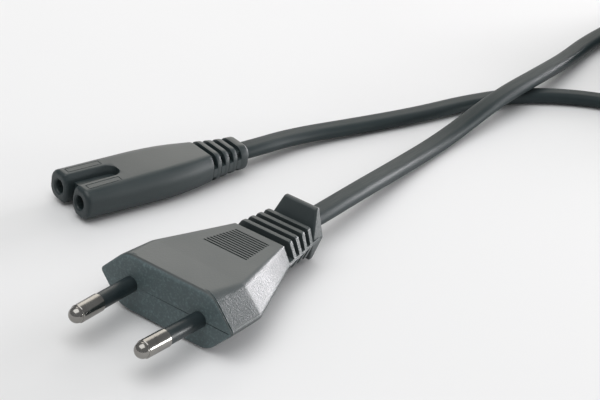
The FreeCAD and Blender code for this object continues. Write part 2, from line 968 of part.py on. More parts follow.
def cord_profile(at, heading):
    """The flat cord's section, lying flat across its heading."""
    across = heading.cross(Z_AXIS).normalize()
    radius = size("cord_thickness").value / 2
    half = size("cord_width").value / 2 - radius
    up = Z_AXIS * radius
    right = at + across * half
    left = at - across * half
    edges = [
        Part.LineSegment(left + up, right + up).toShape(),
        Part.Arc(right + up, right + across * radius, right - up).toShape(),
        Part.LineSegment(right - up, left - up).toShape(),
        Part.Arc(left - up, left - across * radius, left + up).toShape(),
    ]
    return Part.Wire(edges)


def cord_lead(name, points):
    path = rounded_path(name, points)
    profile = cord_profile(points[0], points[1] - points[0])
    shell = Part.BRepOffsetAPI.MakePipeShell(path)
    shell.setBiNormalMode(Z_AXIS)
    shell.add(profile)
    shell.build()
    shell.makeSolid()
    lead = DOC.addObject("Part::Feature", name)
    lead.Shape = shell.shape()
    lead.Label = name
    section = Part.Face(profile).Area
    print(f"{name}: volume {lead.Shape.Volume:.0f}, section times length {section * path.Length:.0f}")
    return lead


def plug_lead_points():
    start = FRONT_Y + size("plug_jacket_start")
    leave = FRONT_Y + size("plug_length") + size("cord_width") / 2
    points = [FreeCAD.Vector(0, y.value, MIDDLE_Z.value) for y in (start, leave)]
    points += [FreeCAD.Vector(*p) for p in PLUG_LEAD_ROUTE]
    end = coil_end(-1, 0)
    return points + [end - FreeCAD.Vector(0, size("coil_lead_in").value, 0), end]


def connector_lead_points():
    start = size("connector_jacket_start")
    leave = size("connector_length") + size("cord_width") / 2
    back = FreeCAD.Rotation(Z_AXIS, CONNECTOR_TURN.value).multVec(FreeCAD.Vector(0, 1, 0))
    front = FreeCAD.Vector(size("connector_x").value, size("connector_y").value, CONNECTOR_Z.value)
    points = [front + back * y.value for y in (start, leave)]
    points += [FreeCAD.Vector(*p) for p in CONNECTOR_LEAD_ROUTE]
    end = coil_end(1, size("coil_rows").value - 1)
    return points + [end - FreeCAD.Vector(0, size("coil_lead_out").value, 0), end]


def coil_end(side, row):
    """Where the strand that leaves the coil on that side meets the lead."""
    x = size("coil_x") + outer_strand_radius() * side
    y = size("coil_y") - size("coil_stub")
    return FreeCAD.Vector(x.value, y.value, strand_level(row).value)


# Assembly


def build():
    pins = {side: pin(side) for side in SIDES}
    sleeves = {side: pin_sleeve(side) for side in SIDES}
    plug_lead = cord_lead("cord_plug_lead", plug_lead_points())
    connector_lead = cord_lead("cord_connector_lead", connector_lead_points())
    contacts = {side: contact(side) for side in SIDES}
    plug_solids, plug_conductors = plug_wires()
    connector_solids, connector_conductors = connector_wires()
    bridge = pin_bridge_block()
    insert = connector_insert_block()
    on_pins = [*pins.values(), *sleeves.values()]
    nodes = [*on_pins, *contacts.values(), plug_lead, connector_lead, coil(), coil_tie()]
    nodes += [*plug_conductors.values(), *connector_conductors.values()]
    for colour in CORES:
        nodes.append(cut(f"plug_core_{colour}", plug_solids[colour], [plug_conductors[colour]]))
        core = connector_solids[colour]
        nodes.append(cut(f"connector_core_{colour}", core, [connector_conductors[colour]]))
    plug_wiring = [*plug_solids.values(), *plug_conductors.values()]
    connector_wiring = [*connector_solids.values(), *connector_conductors.values()]
    nodes.append(cut("pin_bridge", bridge, [*on_pins, *plug_wiring]))
    rooms = [contact_rooms(), *contacts.values(), *connector_wiring]
    nodes.append(cut("connector_insert", insert, rooms))
    inside = [bridge, *on_pins, *plug_wiring, plug_lead]
    nodes.append(cut("plug_body", plug_moulding(), inside))
    inside = [insert, *contacts.values(), *connector_wiring, connector_lead]
    nodes.append(cut("connector_body", connector_moulding(), inside))
    return nodes


def check(nodes):
    DOC.recompute()
    for thing in DOC.Objects:
        if "Invalid" in thing.State or "Error" in thing.State:
            raise RuntimeError(f"{thing.Label} failed: {thing.State}")
    for node in nodes:
        shape = node.Shape
        if shape.isNull() or not shape.isValid() or len(shape.Solids) != 1:
            raise RuntimeError(f"{node.Label}: {len(shape.Solids)} solids, valid {shape.isValid()}")


NODES = build()
check(NODES)
os.makedirs("parts", exist_ok=True)
for node in NODES:
    node.Shape.exportStep(f"parts/{node.Label}.step")
    box = node.Shape.BoundBox
    print(f"{node.Label}: volume {node.Shape.Volume:.1f}, z {box.ZMin:.2f} to {box.ZMax:.2f}")
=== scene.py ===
# %% [markdown]
# # A moulded europlug lead on a pale table
# The object is a mains lead: a flat europlug at one end, a figure-eight connector at the other, and
# a flat two-core cord between them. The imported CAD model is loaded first. It gives the sizes and the
# places, and the pieces made below are laid over it in the same frame, in metres.

import math

import bmesh
import bpy
import numpy as np
from mathutils import Matrix, Vector


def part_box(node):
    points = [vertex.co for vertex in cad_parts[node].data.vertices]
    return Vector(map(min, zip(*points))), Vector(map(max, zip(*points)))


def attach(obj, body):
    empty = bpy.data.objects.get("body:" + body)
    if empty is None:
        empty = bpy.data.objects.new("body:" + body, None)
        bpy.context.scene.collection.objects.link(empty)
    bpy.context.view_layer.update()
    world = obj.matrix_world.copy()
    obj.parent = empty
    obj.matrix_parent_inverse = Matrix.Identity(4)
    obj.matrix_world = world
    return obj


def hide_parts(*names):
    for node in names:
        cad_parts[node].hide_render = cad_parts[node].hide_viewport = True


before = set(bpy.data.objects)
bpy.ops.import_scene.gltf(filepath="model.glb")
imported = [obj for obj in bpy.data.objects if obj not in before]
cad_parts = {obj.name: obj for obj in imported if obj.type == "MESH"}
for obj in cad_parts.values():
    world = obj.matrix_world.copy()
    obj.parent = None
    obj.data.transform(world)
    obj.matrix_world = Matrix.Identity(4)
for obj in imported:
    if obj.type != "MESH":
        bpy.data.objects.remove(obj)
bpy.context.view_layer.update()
scene = bpy.context.scene
MM = 0.001
print("nodes:", sorted(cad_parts))

# %% [markdown]
# ## The camera
# The picture was taken with a long lens from the front right, about 28 degrees above the table, and
# the camera was tipped a little, so that upright things lean to the right by about 8 degrees. A lens
# of 108 mm on a 36 mm sensor gives the same perspective. The axes are built by hand, because a
# tracking constraint would keep the horizon level.

# %% Camera
CAMERA_AT = (0.19129, -0.27087, 0.20488)
LOOK = Vector((-0.4712, 0.7462, -0.4703)).normalized()
LEAN = math.radians(8.27)

camera = bpy.data.objects.new("camera", bpy.data.cameras.new("camera"))
scene.collection.objects.link(camera)
scene.camera = camera
camera.data.sensor_width = 36
camera.data.lens = 108
camera.data.clip_start = 0.02
camera.data.clip_end = 20
level_up = (Vector((0, 0, 1)) - LOOK * LOOK.z).normalized()
level_right = LOOK.cross(level_up)
up = level_up * math.cos(LEAN) - level_right * math.sin(LEAN)
axes = Matrix((LOOK.cross(up), up, -LOOK)).transposed().to_4x4()
camera.matrix_world = Matrix.Translation(CAMERA_AT) @ axes
print("camera at", CAMERA_AT, "with a lens of", camera.data.lens, "mm")

# %% [markdown]
# ## The cord's line
# A cord is one smooth line. Its route is a short list of points: out of the plug, down to the table,
# over the other lead in a long low hump, into a tied coil of the length that is put away, and back
# to the connector. A NURBS spline of order 3 with these control points bends like a soft cord does,
# because its curve never overshoots a point. The coil's points are worked out: the angle runs
# evenly, and the strand steps from column to column and from row to row.

# %% Route of the cord
PLUG_LEAD = [
    (0.0, 14.4, 6.7),
    (0.0, 36.35, 6.7),
    (-2.0, 60.0, 5.3),
    (-5.0, 84.0, 2.5),
    (-6.8, 109.0, 1.4),
    (-6.7, 135.0, 5.6),
    (-6.9, 160.0, 5.6),
    (-9.4, 180.0, 3.4),
    (-12.0, 198.0, 2.55),
    (-12.0, 218.0, 2.55),
]
CONNECTOR_LEAD = [
    (-38.76, 40.71, 4.1),
    (-34.12, 58.56, 4.1),
    (-33.0, 76.0, 2.6),
    (-26.4, 96.5, 1.75),
    (-19.6, 115.0, 1.7),
    (-14.7, 133.0, 1.7),
    (-7.6, 150.0, 1.7),
    (5.0, 163.5, 1.7),
    (21.5, 171.5, 1.9),
    (37.0, 180.5, 4.6),
    (47.8, 191.5, 9.4),
    (52.4, 205.0, 13.05),
    (52.4, 218.0, 13.05),
]
COIL_CENTRE = (20.2, 238.0)
COIL_TURNS = 7.5
STRAND_RADII = np.array([32.2, 26.5, 26.5, 32.2, 32.2, 26.5, 26.5, 32.2])
STRAND_LEVELS = np.array([2.55, 2.55, 6.05, 6.05, 9.55, 9.55, 13.05, 13.05])


def smooth(t):
    """A soft step from 0 to 1: three t squared minus two t cubed, held at both ends."""
    t = np.clip(t, 0, 1)
    return t * t * (3 - 2 * t)


def stepped(t, values, width=0.16):
    """Follow the values one after the other, with a soft step of the given width between two."""
    edges = np.arange(1, len(values)) * COIL_TURNS / len(values)
    steps = smooth((t[:, None] - edges) / width + 0.5)
    return values[0] + steps @ np.diff(values)


def coil_points(per_turn=18, widening=0.75):
    """Points on a circle, clockwise from the left, a little wide because the spline cuts inside."""
    t = np.linspace(0, COIL_TURNS, int(COIL_TURNS * per_turn) + 1)
    angle = math.pi - 2 * math.pi * t
    radius = stepped(t, STRAND_RADII) / math.cos(math.pi / per_turn) ** widening
    x = COIL_CENTRE[0] + radius * np.cos(angle)
    y = COIL_CENTRE[1] + radius * np.sin(angle)
    return np.stack([x, y, stepped(t, STRAND_LEVELS)], axis=1)


route = np.concatenate([PLUG_LEAD, coil_points(), CONNECTOR_LEAD[::-1]]) * MM
print("route points:", len(route))

# %% Spline through the route
line = bpy.data.curves.new("cord_line", "CURVE")
line.dimensions = "3D"
line.resolution_u = 8
spline = line.splines.new("NURBS")
spline.points.add(len(route) - 1)
spline.points.foreach_set("co", np.c_[route, np.ones(len(route))].ravel())
spline.order_u = 3
spline.use_endpoint_u = True
line_object = bpy.data.objects.new("cord_line", line)
scene.collection.objects.link(line_object)
bpy.context.view_layer.update()
sampled = bpy.data.meshes.new_from_object(line_object)
path = np.empty(len(sampled.vertices) * 3)
sampled.vertices.foreach_get("co", path)
path = path.reshape(-1, 3)
bpy.data.objects.remove(line_object)
bpy.data.curves.remove(line)
bpy.data.meshes.remove(sampled)
cord_steps = np.linalg.norm(np.diff(path, axis=0), axis=1)

# %% [markdown]
# ## Putting surfaces into meshes
# Every new piece here is a grid of points: rows follow one another along the piece, and each row is
# one loop round it. The faces of such a grid follow from its size alone. Shells are joined into one
# mesh, and edges that turn by more than a set angle stay sharp.

# %% Mesh helpers
SEAM_REACH, SMALLEST_EDGE = 2e-6, 1e-6


def grid_faces(rows, columns):
    """Quads between neighbouring rows and columns; the last column joins the first."""
    i, j = np.meshgrid(np.arange(rows - 1), np.arange(columns), indexing="ij")
    k = (j + 1) % columns
    here, ahead = i * columns, (i + 1) * columns
    return np.stack([here + j, here + k, ahead + k, ahead + j], axis=-1).reshape(-1, 4).tolist()


def row_face(row, columns):
    """One face over all points of a row."""
    return list(range(row * columns, (row + 1) * columns))


def capped(loops):
    """A grid of loops with a face over each end."""
    rows, columns = loops.shape[:2]
    ends = [row_face(0, columns)[::-1], row_face(rows - 1, columns)]
    return loops, grid_faces(rows, columns) + ends


def make_piece(name, shells, nodes, sharp=38, merge=True):
    """Put shells in millimetres into a mesh with closed seams, and hand the piece to its body."""
    points, faces = np.empty((0, 3)), []
    for shell_points, shell_faces in shells:
        faces += [[v + len(points) for v in face] for face in shell_faces]
        points = np.concatenate([points, np.reshape(shell_points, (-1, 3))])
    mesh = bpy.data.meshes.new(name)
    mesh.from_pydata((points * MM).tolist(), [], faces)
    if merge:
        work = bmesh.new()
        work.from_mesh(mesh)
        bmesh.ops.remove_doubles(work, verts=work.verts, dist=SEAM_REACH)
        bmesh.ops.dissolve_degenerate(work, edges=work.edges, dist=SMALLEST_EDGE)
        bmesh.ops.recalc_face_normals(work, faces=work.faces)
        work.to_mesh(mesh)
        work.free()
    mesh.polygons.foreach_set("use_smooth", np.ones(len(mesh.polygons), bool))
    mesh.set_sharp_from_angle(angle=math.radians(sharp))
    piece = bpy.data.objects.new(name, mesh)
    scene.collection.objects.link(piece)
    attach(piece, "root")
    if nodes:
        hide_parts(*nodes)
    print(f"{name}: {len(mesh.polygons)} faces")
    return piece


print("faces of a grid of 2 by 4 points:", grid_faces(2, 4))

# %% [markdown]
# ## The flat cord
# Two cores side by side in one jacket make a flat cord, 5.5 mm wide and 3.3 mm thick, with round
# edges. Its section is a stadium: two half circles joined by straight lines. The section is carried
# along the line with its flat side up, because a flat cord lies flat. A UV map runs round the
# section and along the length, so that the finish can follow the cord.

# %% Cord
CORD_WIDTH, CORD_THICKNESS = 5.5, 3.3


def stadium(per_end=13, flat=4):
    """Two half circles and two flats, clockwise so that the cord's faces look outwards."""
    radius = CORD_THICKNESS / 2
    reach = CORD_WIDTH / 2 - radius
    a = np.linspace(-math.pi / 2, math.pi / 2, per_end)
    right = np.c_[reach + radius * np.cos(a), radius * np.sin(a)]
    run = np.linspace(reach, -reach, flat + 2)[1:-1]
    top = np.c_[run, np.full(flat, radius)]
    return np.concatenate([right, top, -right, -top])[::-1]


def unit(vectors):
    """Vectors divided by their lengths."""
    return vectors / np.linalg.norm(vectors, axis=-1, keepdims=True)


def swept(points, section):
    """Carry a flat section along a line: across is the tangent's cross product with up."""
    tangent = unit(np.gradient(points, axis=0))
    across = unit(np.cross(tangent, (0, 0, 1.0)))
    above = np.cross(across, tangent)
    return points[:, None] + across[:, None] * section[:, :1] + above[:, None] * section[:, 1:]


tube = swept(path / MM, stadium())
cord_nodes = ["cord_plug_lead", "cord_coil", "cord_connector_lead"]
cord = make_piece("cord", [capped(tube)], cord_nodes, sharp=60, merge=False)
along = np.concatenate([[0], np.cumsum(cord_steps)])
loops = np.empty(len(cord.data.loops), np.int32)
cord.data.loops.foreach_get("vertex_index", loops)
columns = tube.shape[1]
uv = np.c_[(loops % columns) / columns, along[loops // columns]]
cord.data.uv_layers.new(name="jacket").data.foreach_set("uv", uv.ravel())

# %% [markdown]
# ## The plug's moulding
# The moulding is a flat wedge. Seen from the front it is a hexagon, wide at mid height, and it
# narrows from a knee behind the face to the strain relief. All sections have the same kind of
# outline, so the sizes at the face, the knee and the rear are enough. Between them they run in
# straight lines, with a soft bend at the knee.

# %% Sizes along the plug
low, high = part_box("plug_body")
PLUG_FRONT = low.y / MM
PLUG_MIDDLE = (low.z + high.z) / 2 / MM
ROLL_SIDE, ROLL_TOP, KNEE, TAPER_END, PLUG_END = 0.45, 1.0, 10.4, 32.1, 48.2
# half width at the side edge, half flat, half height, corner radius, side edge radius
AT_FACE = (18.0, 11.8, 6.7, 5.0, 1.0)
AT_KNEE = (18.0, 12.2, 5.7, 2.6, 1.0)
AT_REAR = (9.25, 6.8, 3.95, 0.7, 0.8)


def bent(y, before, knee, after, softness=0.45):
    """Two slopes; their difference acts on half of d plus the root of d and softness, each squared."""
    front_slope = (knee - before) / (KNEE - ROLL_TOP)
    rear_slope = (after - knee) / (TAPER_END - KNEE)
    d = np.maximum(y, ROLL_TOP) - KNEE
    kink = (rear_slope - front_slope) * 0.5 * (d + np.sqrt(d * d + softness**2))
    return knee + front_slope * d + kink


def plug_section(y):
    """The five sizes of the hexagon at a setback."""
    return tuple(bent(y, *sizes) for sizes in zip(AT_FACE, AT_KNEE, AT_REAR))


print("section at the knee:", [round(float(v), 2) for v in plug_section(np.array(KNEE))])

# %% [markdown]
# One function gives a quarter of the outline, which is mirrored later: half of the rounded side
# edge, the sloping side, the round corner, and the flat with the points of the grip field.

# %% A quarter of the hexagon
ARC_POINTS, EDGE_POINTS, SLOPE_POINTS, FIELD_POINTS = 9, 5, 4, 5
FIELD_STEP = 0.08


def corner_arc(before, corner, after, radius, count):
    """An arc that rounds a corner: its ends are turned into each other by even angles."""
    back, ahead = unit(before - corner), unit(after - corner)
    half = np.arccos(np.clip((back * ahead).sum(-1), -1, 1)) / 2
    centre = corner + unit(back + ahead) * (radius / np.sin(half))[:, None]
    reach = (radius / np.tan(half))[:, None]
    start = corner + back * reach - centre
    end = corner + ahead * reach - centre
    turn = (math.pi - 2 * half)[:, None, None]
    t = np.linspace(0, 1, count)[None, :, None]
    mix = np.sin((1 - t) * turn) * start[:, None] + np.sin(t * turn) * end[:, None]
    return centre[:, None] + mix / np.sin(turn)


def pair(x, z):
    """Points of a section from x and z, which are stretched to the same size."""
    return np.stack(np.broadcast_arrays(x, z), axis=-1)


def inset_hexagon(width, flat, height, side_inset, top_inset):
    """Move the sloping side and the flat inwards by their own amounts and let them meet again."""
    slope_x, slope_z = height, width - flat
    length = np.hypot(slope_x, slope_z)
    reach = (slope_x * width - side_inset * length) / slope_x
    new_height = height - top_inset
    new_flat = reach - slope_z / slope_x * new_height
    return reach, new_flat, new_height


def hexagon_quarter(width, flat, height, corner, edge, field):
    """From the side edge to the middle of the flat: arc, sloping line, corner arc, flat."""
    side = pair(width, 0 * width)
    top = pair(flat, height)
    edge_arc = corner_arc(pair(flat, -height), side, top, edge, ARC_POINTS)[:, -EDGE_POINTS:]
    bend = corner_arc(side, top, pair(0 * flat, height), corner, ARC_POINTS)
    t = np.linspace(0, 1, SLOPE_POINTS + 2)[1:-1][None, :, None]
    slope = edge_arc[:, -1:] + (bend[:, :1] - edge_arc[:, -1:]) * t
    outer = bend[:, -1:, 0]
    t = np.linspace(0, 1, FIELD_POINTS)
    beside = outer + (field[:, None] + FIELD_STEP - outer) * t[1:]
    inside = field[:, None] * (1 - t)
    x = np.concatenate([beside, inside], axis=1)
    return np.concatenate([edge_arc, slope, bend, pair(x, height[:, None])], axis=1)


print("points on each arc, slope and field:", ARC_POINTS, SLOPE_POINTS, FIELD_POINTS)

# %% [markdown]
# The rows say where the outline is taken. The front edge is rolled over widely above and below and
# tightly at the sloping sides, so sides and flats have setbacks of their own. Behind the edge runs a
# fine seam, and the grip lines are rows whose flat is sunk.

# %% Rows of the plug's moulding
FACE_SIDE, FACE_TOP = 0.08, 0.9
SEAM_Y, SEAM_DEPTH = np.array([0.05, 0.09, 0.35, 0.39]), 0.3
GRIP_START, GRIP_PITCH, GRIP_LINE, GRIP_COUNT, GRIP_DEPTH = 9.05, 0.968, 0.5, 11, 0.4
GRIP_SLANT = 0.05
END_ROUND = 0.2


def plug_rows():
    """Setbacks of sides and flats, insets of both, and the depth of a grip line, for each row."""
    turn = np.radians(np.linspace(0, 90, 10))
    back, inward = 1 - np.cos(turn), 1 - np.sin(turn)
    roll = np.c_[ROLL_SIDE * back, ROLL_TOP * back, ROLL_SIDE * inward, ROLL_TOP * inward, 0 * turn]
    face = [[0, 0, ROLL_SIDE + FACE_SIDE, ROLL_TOP + FACE_TOP, 0]]
    sunk = np.array([0, 1, 1, 0])
    none = 0 * SEAM_Y
    seam = np.c_[ROLL_SIDE + SEAM_Y, ROLL_TOP + SEAM_Y / 2, SEAM_DEPTH * sunk, none, none]
    slope = math.atan((AT_KNEE[2] - AT_REAR[2]) / (TAPER_END - KNEE))
    starts = KNEE + (GRIP_START + GRIP_PITCH * np.arange(GRIP_COUNT)) * math.cos(slope)
    line = starts[:, None] + np.array([0, GRIP_SLANT, GRIP_LINE - GRIP_SLANT, GRIP_LINE])
    plain = np.concatenate([
        np.linspace(1.6, KNEE - 1.4, 6),
        KNEE + np.linspace(-1.1, 1.1, 11),
        np.linspace(KNEE + 1.5, starts[0] - 0.3, 8),
        np.linspace(line[-1, -1] + 0.3, TAPER_END - END_ROUND - 0.02, 5),
    ])
    y = np.concatenate([plain, line.ravel()])
    cut = np.concatenate([0 * plain, np.tile(GRIP_DEPTH * sunk, GRIP_COUNT)])
    order = np.argsort(y, kind="stable")
    body = np.c_[y, y, 0 * y, 0 * y, cut][order]
    edge = np.radians(np.linspace(30, 90, 3))
    end_y = TAPER_END - END_ROUND * (1 - np.sin(edge))
    end_inset = END_ROUND * (1 - np.cos(edge))
    end = np.c_[end_y, end_y, end_inset, end_inset, 0 * edge]
    close = [[TAPER_END, TAPER_END, 1.0, 1.0, 0]]
    return np.concatenate([face, roll, seam, body, end, close]).T


wedge_rows = plug_rows()
print("rows of the wedge:", wedge_rows.shape[1])

# %% [markdown]
# The line where the mould's halves part shows as a fine groove across the plug's face. So there are
# two faces with the groove between them, and the lower one lies a trace further back.

# %% Wedge of the plug
FIELD_FRONT, FIELD_NARROWING = 5.9, 1.4
PARTING, PARTING_REST, PARTING_DEPTH, PARTING_END, PARTING_STEP = 0.13, 0.02, 0.32, 0.4, 0.08
SMALLEST_ROUND = 0.25


def set_back(quarter, y):
    """Points in space from a section's x and z and a setback y."""
    return np.stack(np.broadcast_arrays(quarter[..., 0], y, quarter[..., 1]), axis=-1)


def full_loops(upper, lower):
    """Join an upper and a lower right-hand quarter and mirror them to the left."""
    right = np.concatenate([lower[:, ::-1], upper], axis=1)
    left = right[:, ::-1][:, 1:-1] * (-1, 1, 1)
    return np.concatenate([right, left], axis=1)


def plug_wedge(side_y, top_y, side_inset, top_inset, cut):
    """Loops of the wedge in front of the strain relief, and the number of points in a quarter."""
    width, flat, height, corner, edge = plug_section(top_y)
    reach, new_flat, new_height = inset_hexagon(width, flat, height, side_inset, top_inset)
    edge = np.maximum(edge - side_inset, SMALLEST_ROUND)
    along_field = np.clip((top_y - KNEE - GRIP_START) / (GRIP_PITCH * GRIP_COUNT), 0, 1)
    field = FIELD_FRONT - FIELD_NARROWING * along_field
    quarter = hexagon_quarter(reach, new_flat, new_height, corner, edge, field)
    quarter[:, -FIELD_POINTS:, 1] -= cut[:, None]
    gap = PARTING - (PARTING - PARTING_REST) * smooth(side_y / ROLL_SIDE)
    quarter[:, :EDGE_POINTS, 1] = np.maximum(quarter[:, :EDGE_POINTS, 1], gap[:, None])
    count = quarter.shape[1]
    before_bend = EDGE_POINTS + SLOPE_POINTS - 1
    toward_top = smooth((np.arange(count) - before_bend) / ARC_POINTS)
    upper = set_back(quarter, side_y[:, None] + (top_y - side_y)[:, None] * toward_top)
    lower = upper * (1, 1, -1)
    step = PARTING_STEP * (1 - smooth(top_y / ROLL_TOP))
    lower[..., 1] += step[:, None]
    return full_loops(upper, lower), count


def plug_wedge_shell(loops, count):
    """Close the wedge with its back, the two halves of its face and the groove between them."""
    rows, columns = loops.shape[:2]
    right_low, right_up = count - 1, count
    left_up, left_low = columns - count + 1, columns - count + 2
    upper_face = list(range(right_up, left_up + 1))
    lower_face = list(range(left_low, columns)) + list(range(right_low + 1))
    inward = (-PARTING_END, PARTING_DEPTH, 0)
    right_end = loops[0, [right_low, right_up]].mean(axis=0) + inward
    points = np.concatenate([loops.reshape(-1, 3), [right_end, right_end * (-1, 1, 1)]])
    right_in, left_in = rows * columns, rows * columns + 1
    groove = [
        [right_up, left_up, left_in, right_in],
        [right_in, left_in, left_low, right_low],
        [right_low, right_up, right_in],
        [left_up, left_low, left_in],
    ]
    back = row_face(rows - 1, columns)
    return points, grid_faces(rows, columns) + [upper_face, lower_face, back] + groove


wedge = plug_wedge_shell(*plug_wedge(*wedge_rows))
print("wedge points:", len(wedge[0]))

# %% [markdown]
# ## Ribs, rail and pull flange
# Behind the wedge, grooves leave four thin ribs round a core, so that the moulding can bend with the
# cord. A rail at mid height stays uncut. Each row of this shell is one of two loops with the same
# number of points: the ribs' hexagon, or the groove's loop, which runs round the core and out along
# the rail. The flange behind them is a hexagonal plate with a thick middle, for pulling the plug.

# %% Strain relief
RIB_PITCH, GROOVE, FIRST_GROOVE, RIB_COUNT, RIB_SOFT = 2.61, 1.39, 2.2, 4, 0.14
RIB_HALF_WIDTH, RIB_FLAT, RIB_HEIGHT, RIB_CORNER = (9.2, 6.65), (6.8, 5.6), 3.95, 0.45
RAIL, CORE_WIDTH, CORE_HEIGHT, HIDDEN_START = 0.45, 4.7, 2.45, 0.6
FLANGE_EDGE, FLANGE_MIDDLE = 1.3, 3.9
RAIL_POINTS, RIB_SIDE_POINTS, RIB_TOP_POINTS = 5, 7, 6


def between(ends, t):
    """A straight change from the first value to the second."""
    return ends[0] + (ends[1] - ends[0]) * t


def relief_loops(y, groove, inset):
    """Rows of the relief: round core and rail where groove is 1, round the rib where it is 0."""
    t = (y - TAPER_END) / (PLUG_END - FLANGE_EDGE - TAPER_END)
    width = between(RIB_HALF_WIDTH, t)
    flat = between(RIB_FLAT, t) - inset * 0.6
    height = RIB_HEIGHT - inset
    rail_x = width - (width - flat) * RAIL / height
    s = np.linspace(0, 1, RAIL_POINTS)
    rail = pair(width[:, None] + (rail_x - width)[:, None] * s, RAIL * s)
    s = np.linspace(0, 1, RIB_SIDE_POINTS + 1)[1:]
    side_x = rail_x[:, None] + (flat - rail_x)[:, None] * s
    side_z = RAIL + (height - RAIL)[:, None] * s
    side_z[:, -1] -= RIB_CORNER * 0.35
    across = np.linspace(1, 0, RIB_TOP_POINTS)
    top = pair((flat - RIB_CORNER)[:, None] * across, height[:, None])
    rib = np.concatenate([rail, pair(side_x, side_z), top], axis=1)
    core_x = np.r_[[CORE_WIDTH] * RIB_SIDE_POINTS, CORE_WIDTH * across]
    core_z = np.r_[np.linspace(RAIL, CORE_HEIGHT, RIB_SIDE_POINTS), [CORE_HEIGHT] * RIB_TOP_POINTS]
    core = np.broadcast_to(pair(core_x, core_z), (len(y), len(core_x), 2))
    cut = np.concatenate([rail, core], axis=1)
    mix = groove[:, None, None]
    upper = set_back(rib * (1 - mix) + cut * mix, y[:, None])
    return full_loops(upper, upper[:, 1:] * (1, 1, -1))


def relief_shell():
    """Ribs with softened edges, closed by end faces that lie inside the wedge and the flange."""
    rib = RIB_PITCH - GROOVE
    first = TAPER_END + FIRST_GROOVE + RIB_PITCH * np.arange(RIB_COUNT)
    edge = RIB_SOFT * np.array([0, 0, 0.3, 1])
    y = first[:, None] + np.r_[edge, rib - edge[::-1]]
    groove = np.tile([1.0, 0, 0, 0, 0, 0, 0, 1], RIB_COUNT)
    inset = RIB_SOFT * np.tile([0, 1, 0.3, 0, 0, 0.3, 1, 0], RIB_COUNT)
    y = np.r_[TAPER_END - HIDDEN_START, y.ravel(), PLUG_END - FLANGE_EDGE]
    return capped(relief_loops(y, np.r_[1, groove, 1], np.r_[0, inset, 0]))


def on_plug(shell):
    """Move a shell from the plug's own place, face at the origin, to its place in the frame."""
    points, faces = shell
    return np.asarray(points).reshape(-1, 3) + (0, PLUG_FRONT, PLUG_MIDDLE), faces


shells = [on_plug(wedge), on_plug(relief_shell())]
plug = make_piece("plug_moulding", shells, ["plug_body"])

# %% Pull flange
FLANGE_HALF_WIDTH, FLANGE_HALF_HEIGHT = np.array([4.55, 6.65, 4.55]), 6.7
FLANGE_ROUND = 0.0004


def flange_shell():
    """Three levels of four corners: thin and narrow above and below, thick and wide between."""
    front = PLUG_END - np.array([FLANGE_EDGE, FLANGE_MIDDLE, FLANGE_EDGE])
    back = np.full(3, PLUG_END)
    x = FLANGE_HALF_WIDTH[:, None] * np.array([-1, 1, 1, -1])
    y = np.stack([front, front, back, back], axis=1)
    z = FLANGE_HALF_HEIGHT * np.array([[-1], [0], [1]])
    return capped(np.stack(np.broadcast_arrays(x, y, z), axis=-1))


flange = make_piece("pull_flange", [on_plug(flange_shell())], [])
rounding = flange.modifiers.new("soft edges", "BEVEL")
rounding.width = FLANGE_ROUND
rounding.segments = 3
for piece in (plug, flange):  # normals weighted by area, so that faces between bevels look flat
    even = piece.modifiers.new("flat faces", "WEIGHTED_NORMAL")
    even.keep_sharp = True
    even.weight = 100

# %% [markdown]
# ## Pins and sleeves
# A europlug's pins are turned from brass and nickel plated: a plain shank with a small shoulder and
# a round nose. The rear half is a thinner neck under a black sleeve. Both are turned shapes, so a
# profile of radius against setback is carried round the pin's own axis. The axes lean towards each
# other at the tips.

# %% Pins and sleeves
PIN_LENGTH, SLEEVE_LENGTH, PIN_RADIUS, SLEEVE_RADIUS = 19.0, 10.5, 2.0, 1.825
SPACING_BASE, SPACING_TIP = 18.6, 17.5
NOSE_RADIUS, NECK_RADIUS, SLEEVE_END = 1.78, 1.4, 5.0
# radius and setback of the shoulder behind the nose, the neck's collar and the crimp barrel
SHOULDER = [(1.78, 0.12), (1.9, 0.18), (2.0, 0.34)]
COLLAR = [(1.4, 5.0), (2.4, 5.0), (2.4, 7.0), (1.4, 7.0)]
CRIMP = [(1.4, 10.5), (1.6, 10.5), (1.6, 16.0)]
PIN_LEAN = math.atan((SPACING_BASE - SPACING_TIP) / 2 / PIN_LENGTH)


def turned(profile, side, around=48):
    """Carry (radius, setback) pairs round an axis, then lean it and set it in the plug's face."""
    a = np.linspace(0, 2 * math.pi, around, endpoint=False)
    x = profile[:, :1] * np.cos(a)
    z = profile[:, :1] * np.sin(a)
    y = np.broadcast_to(profile[:, 1:], x.shape)
    lean = PIN_LEAN * side
    leaned_x = x * math.cos(lean) + y * math.sin(lean) + side * SPACING_BASE / 2
    leaned_y = -x * math.sin(lean) + y * math.cos(lean)
    return on_plug(capped(np.stack([leaned_x, leaned_y, z], axis=-1)))


def pin_profile():
    """Round nose thinner than the shank, bevelled shoulder, shank, neck, collar and crimp."""
    nose = np.radians(np.linspace(4, 90, 14))
    shoulder, rear = NOSE_RADIUS - PIN_LENGTH, -SLEEVE_LENGTH
    round_nose = np.c_[NOSE_RADIUS * np.sin(nose), shoulder - NOSE_RADIUS * np.cos(nose)]
    step = np.add(SHOULDER, (0, shoulder))
    shank = [(PIN_RADIUS, rear - 0.1), (PIN_RADIUS - 0.1, rear), (NECK_RADIUS, rear)]
    return np.concatenate([round_nose, step, shank, COLLAR, CRIMP])


def sleeve_profile(soft=0.12):
    """A plain tube with a softened end that runs on inside the moulding."""
    front = -SLEEVE_LENGTH
    radii = [NECK_RADIUS, SLEEVE_RADIUS - soft, SLEEVE_RADIUS, SLEEVE_RADIUS, NECK_RADIUS]
    return np.c_[radii, [front, front, front + soft, SLEEVE_END, SLEEVE_END]]


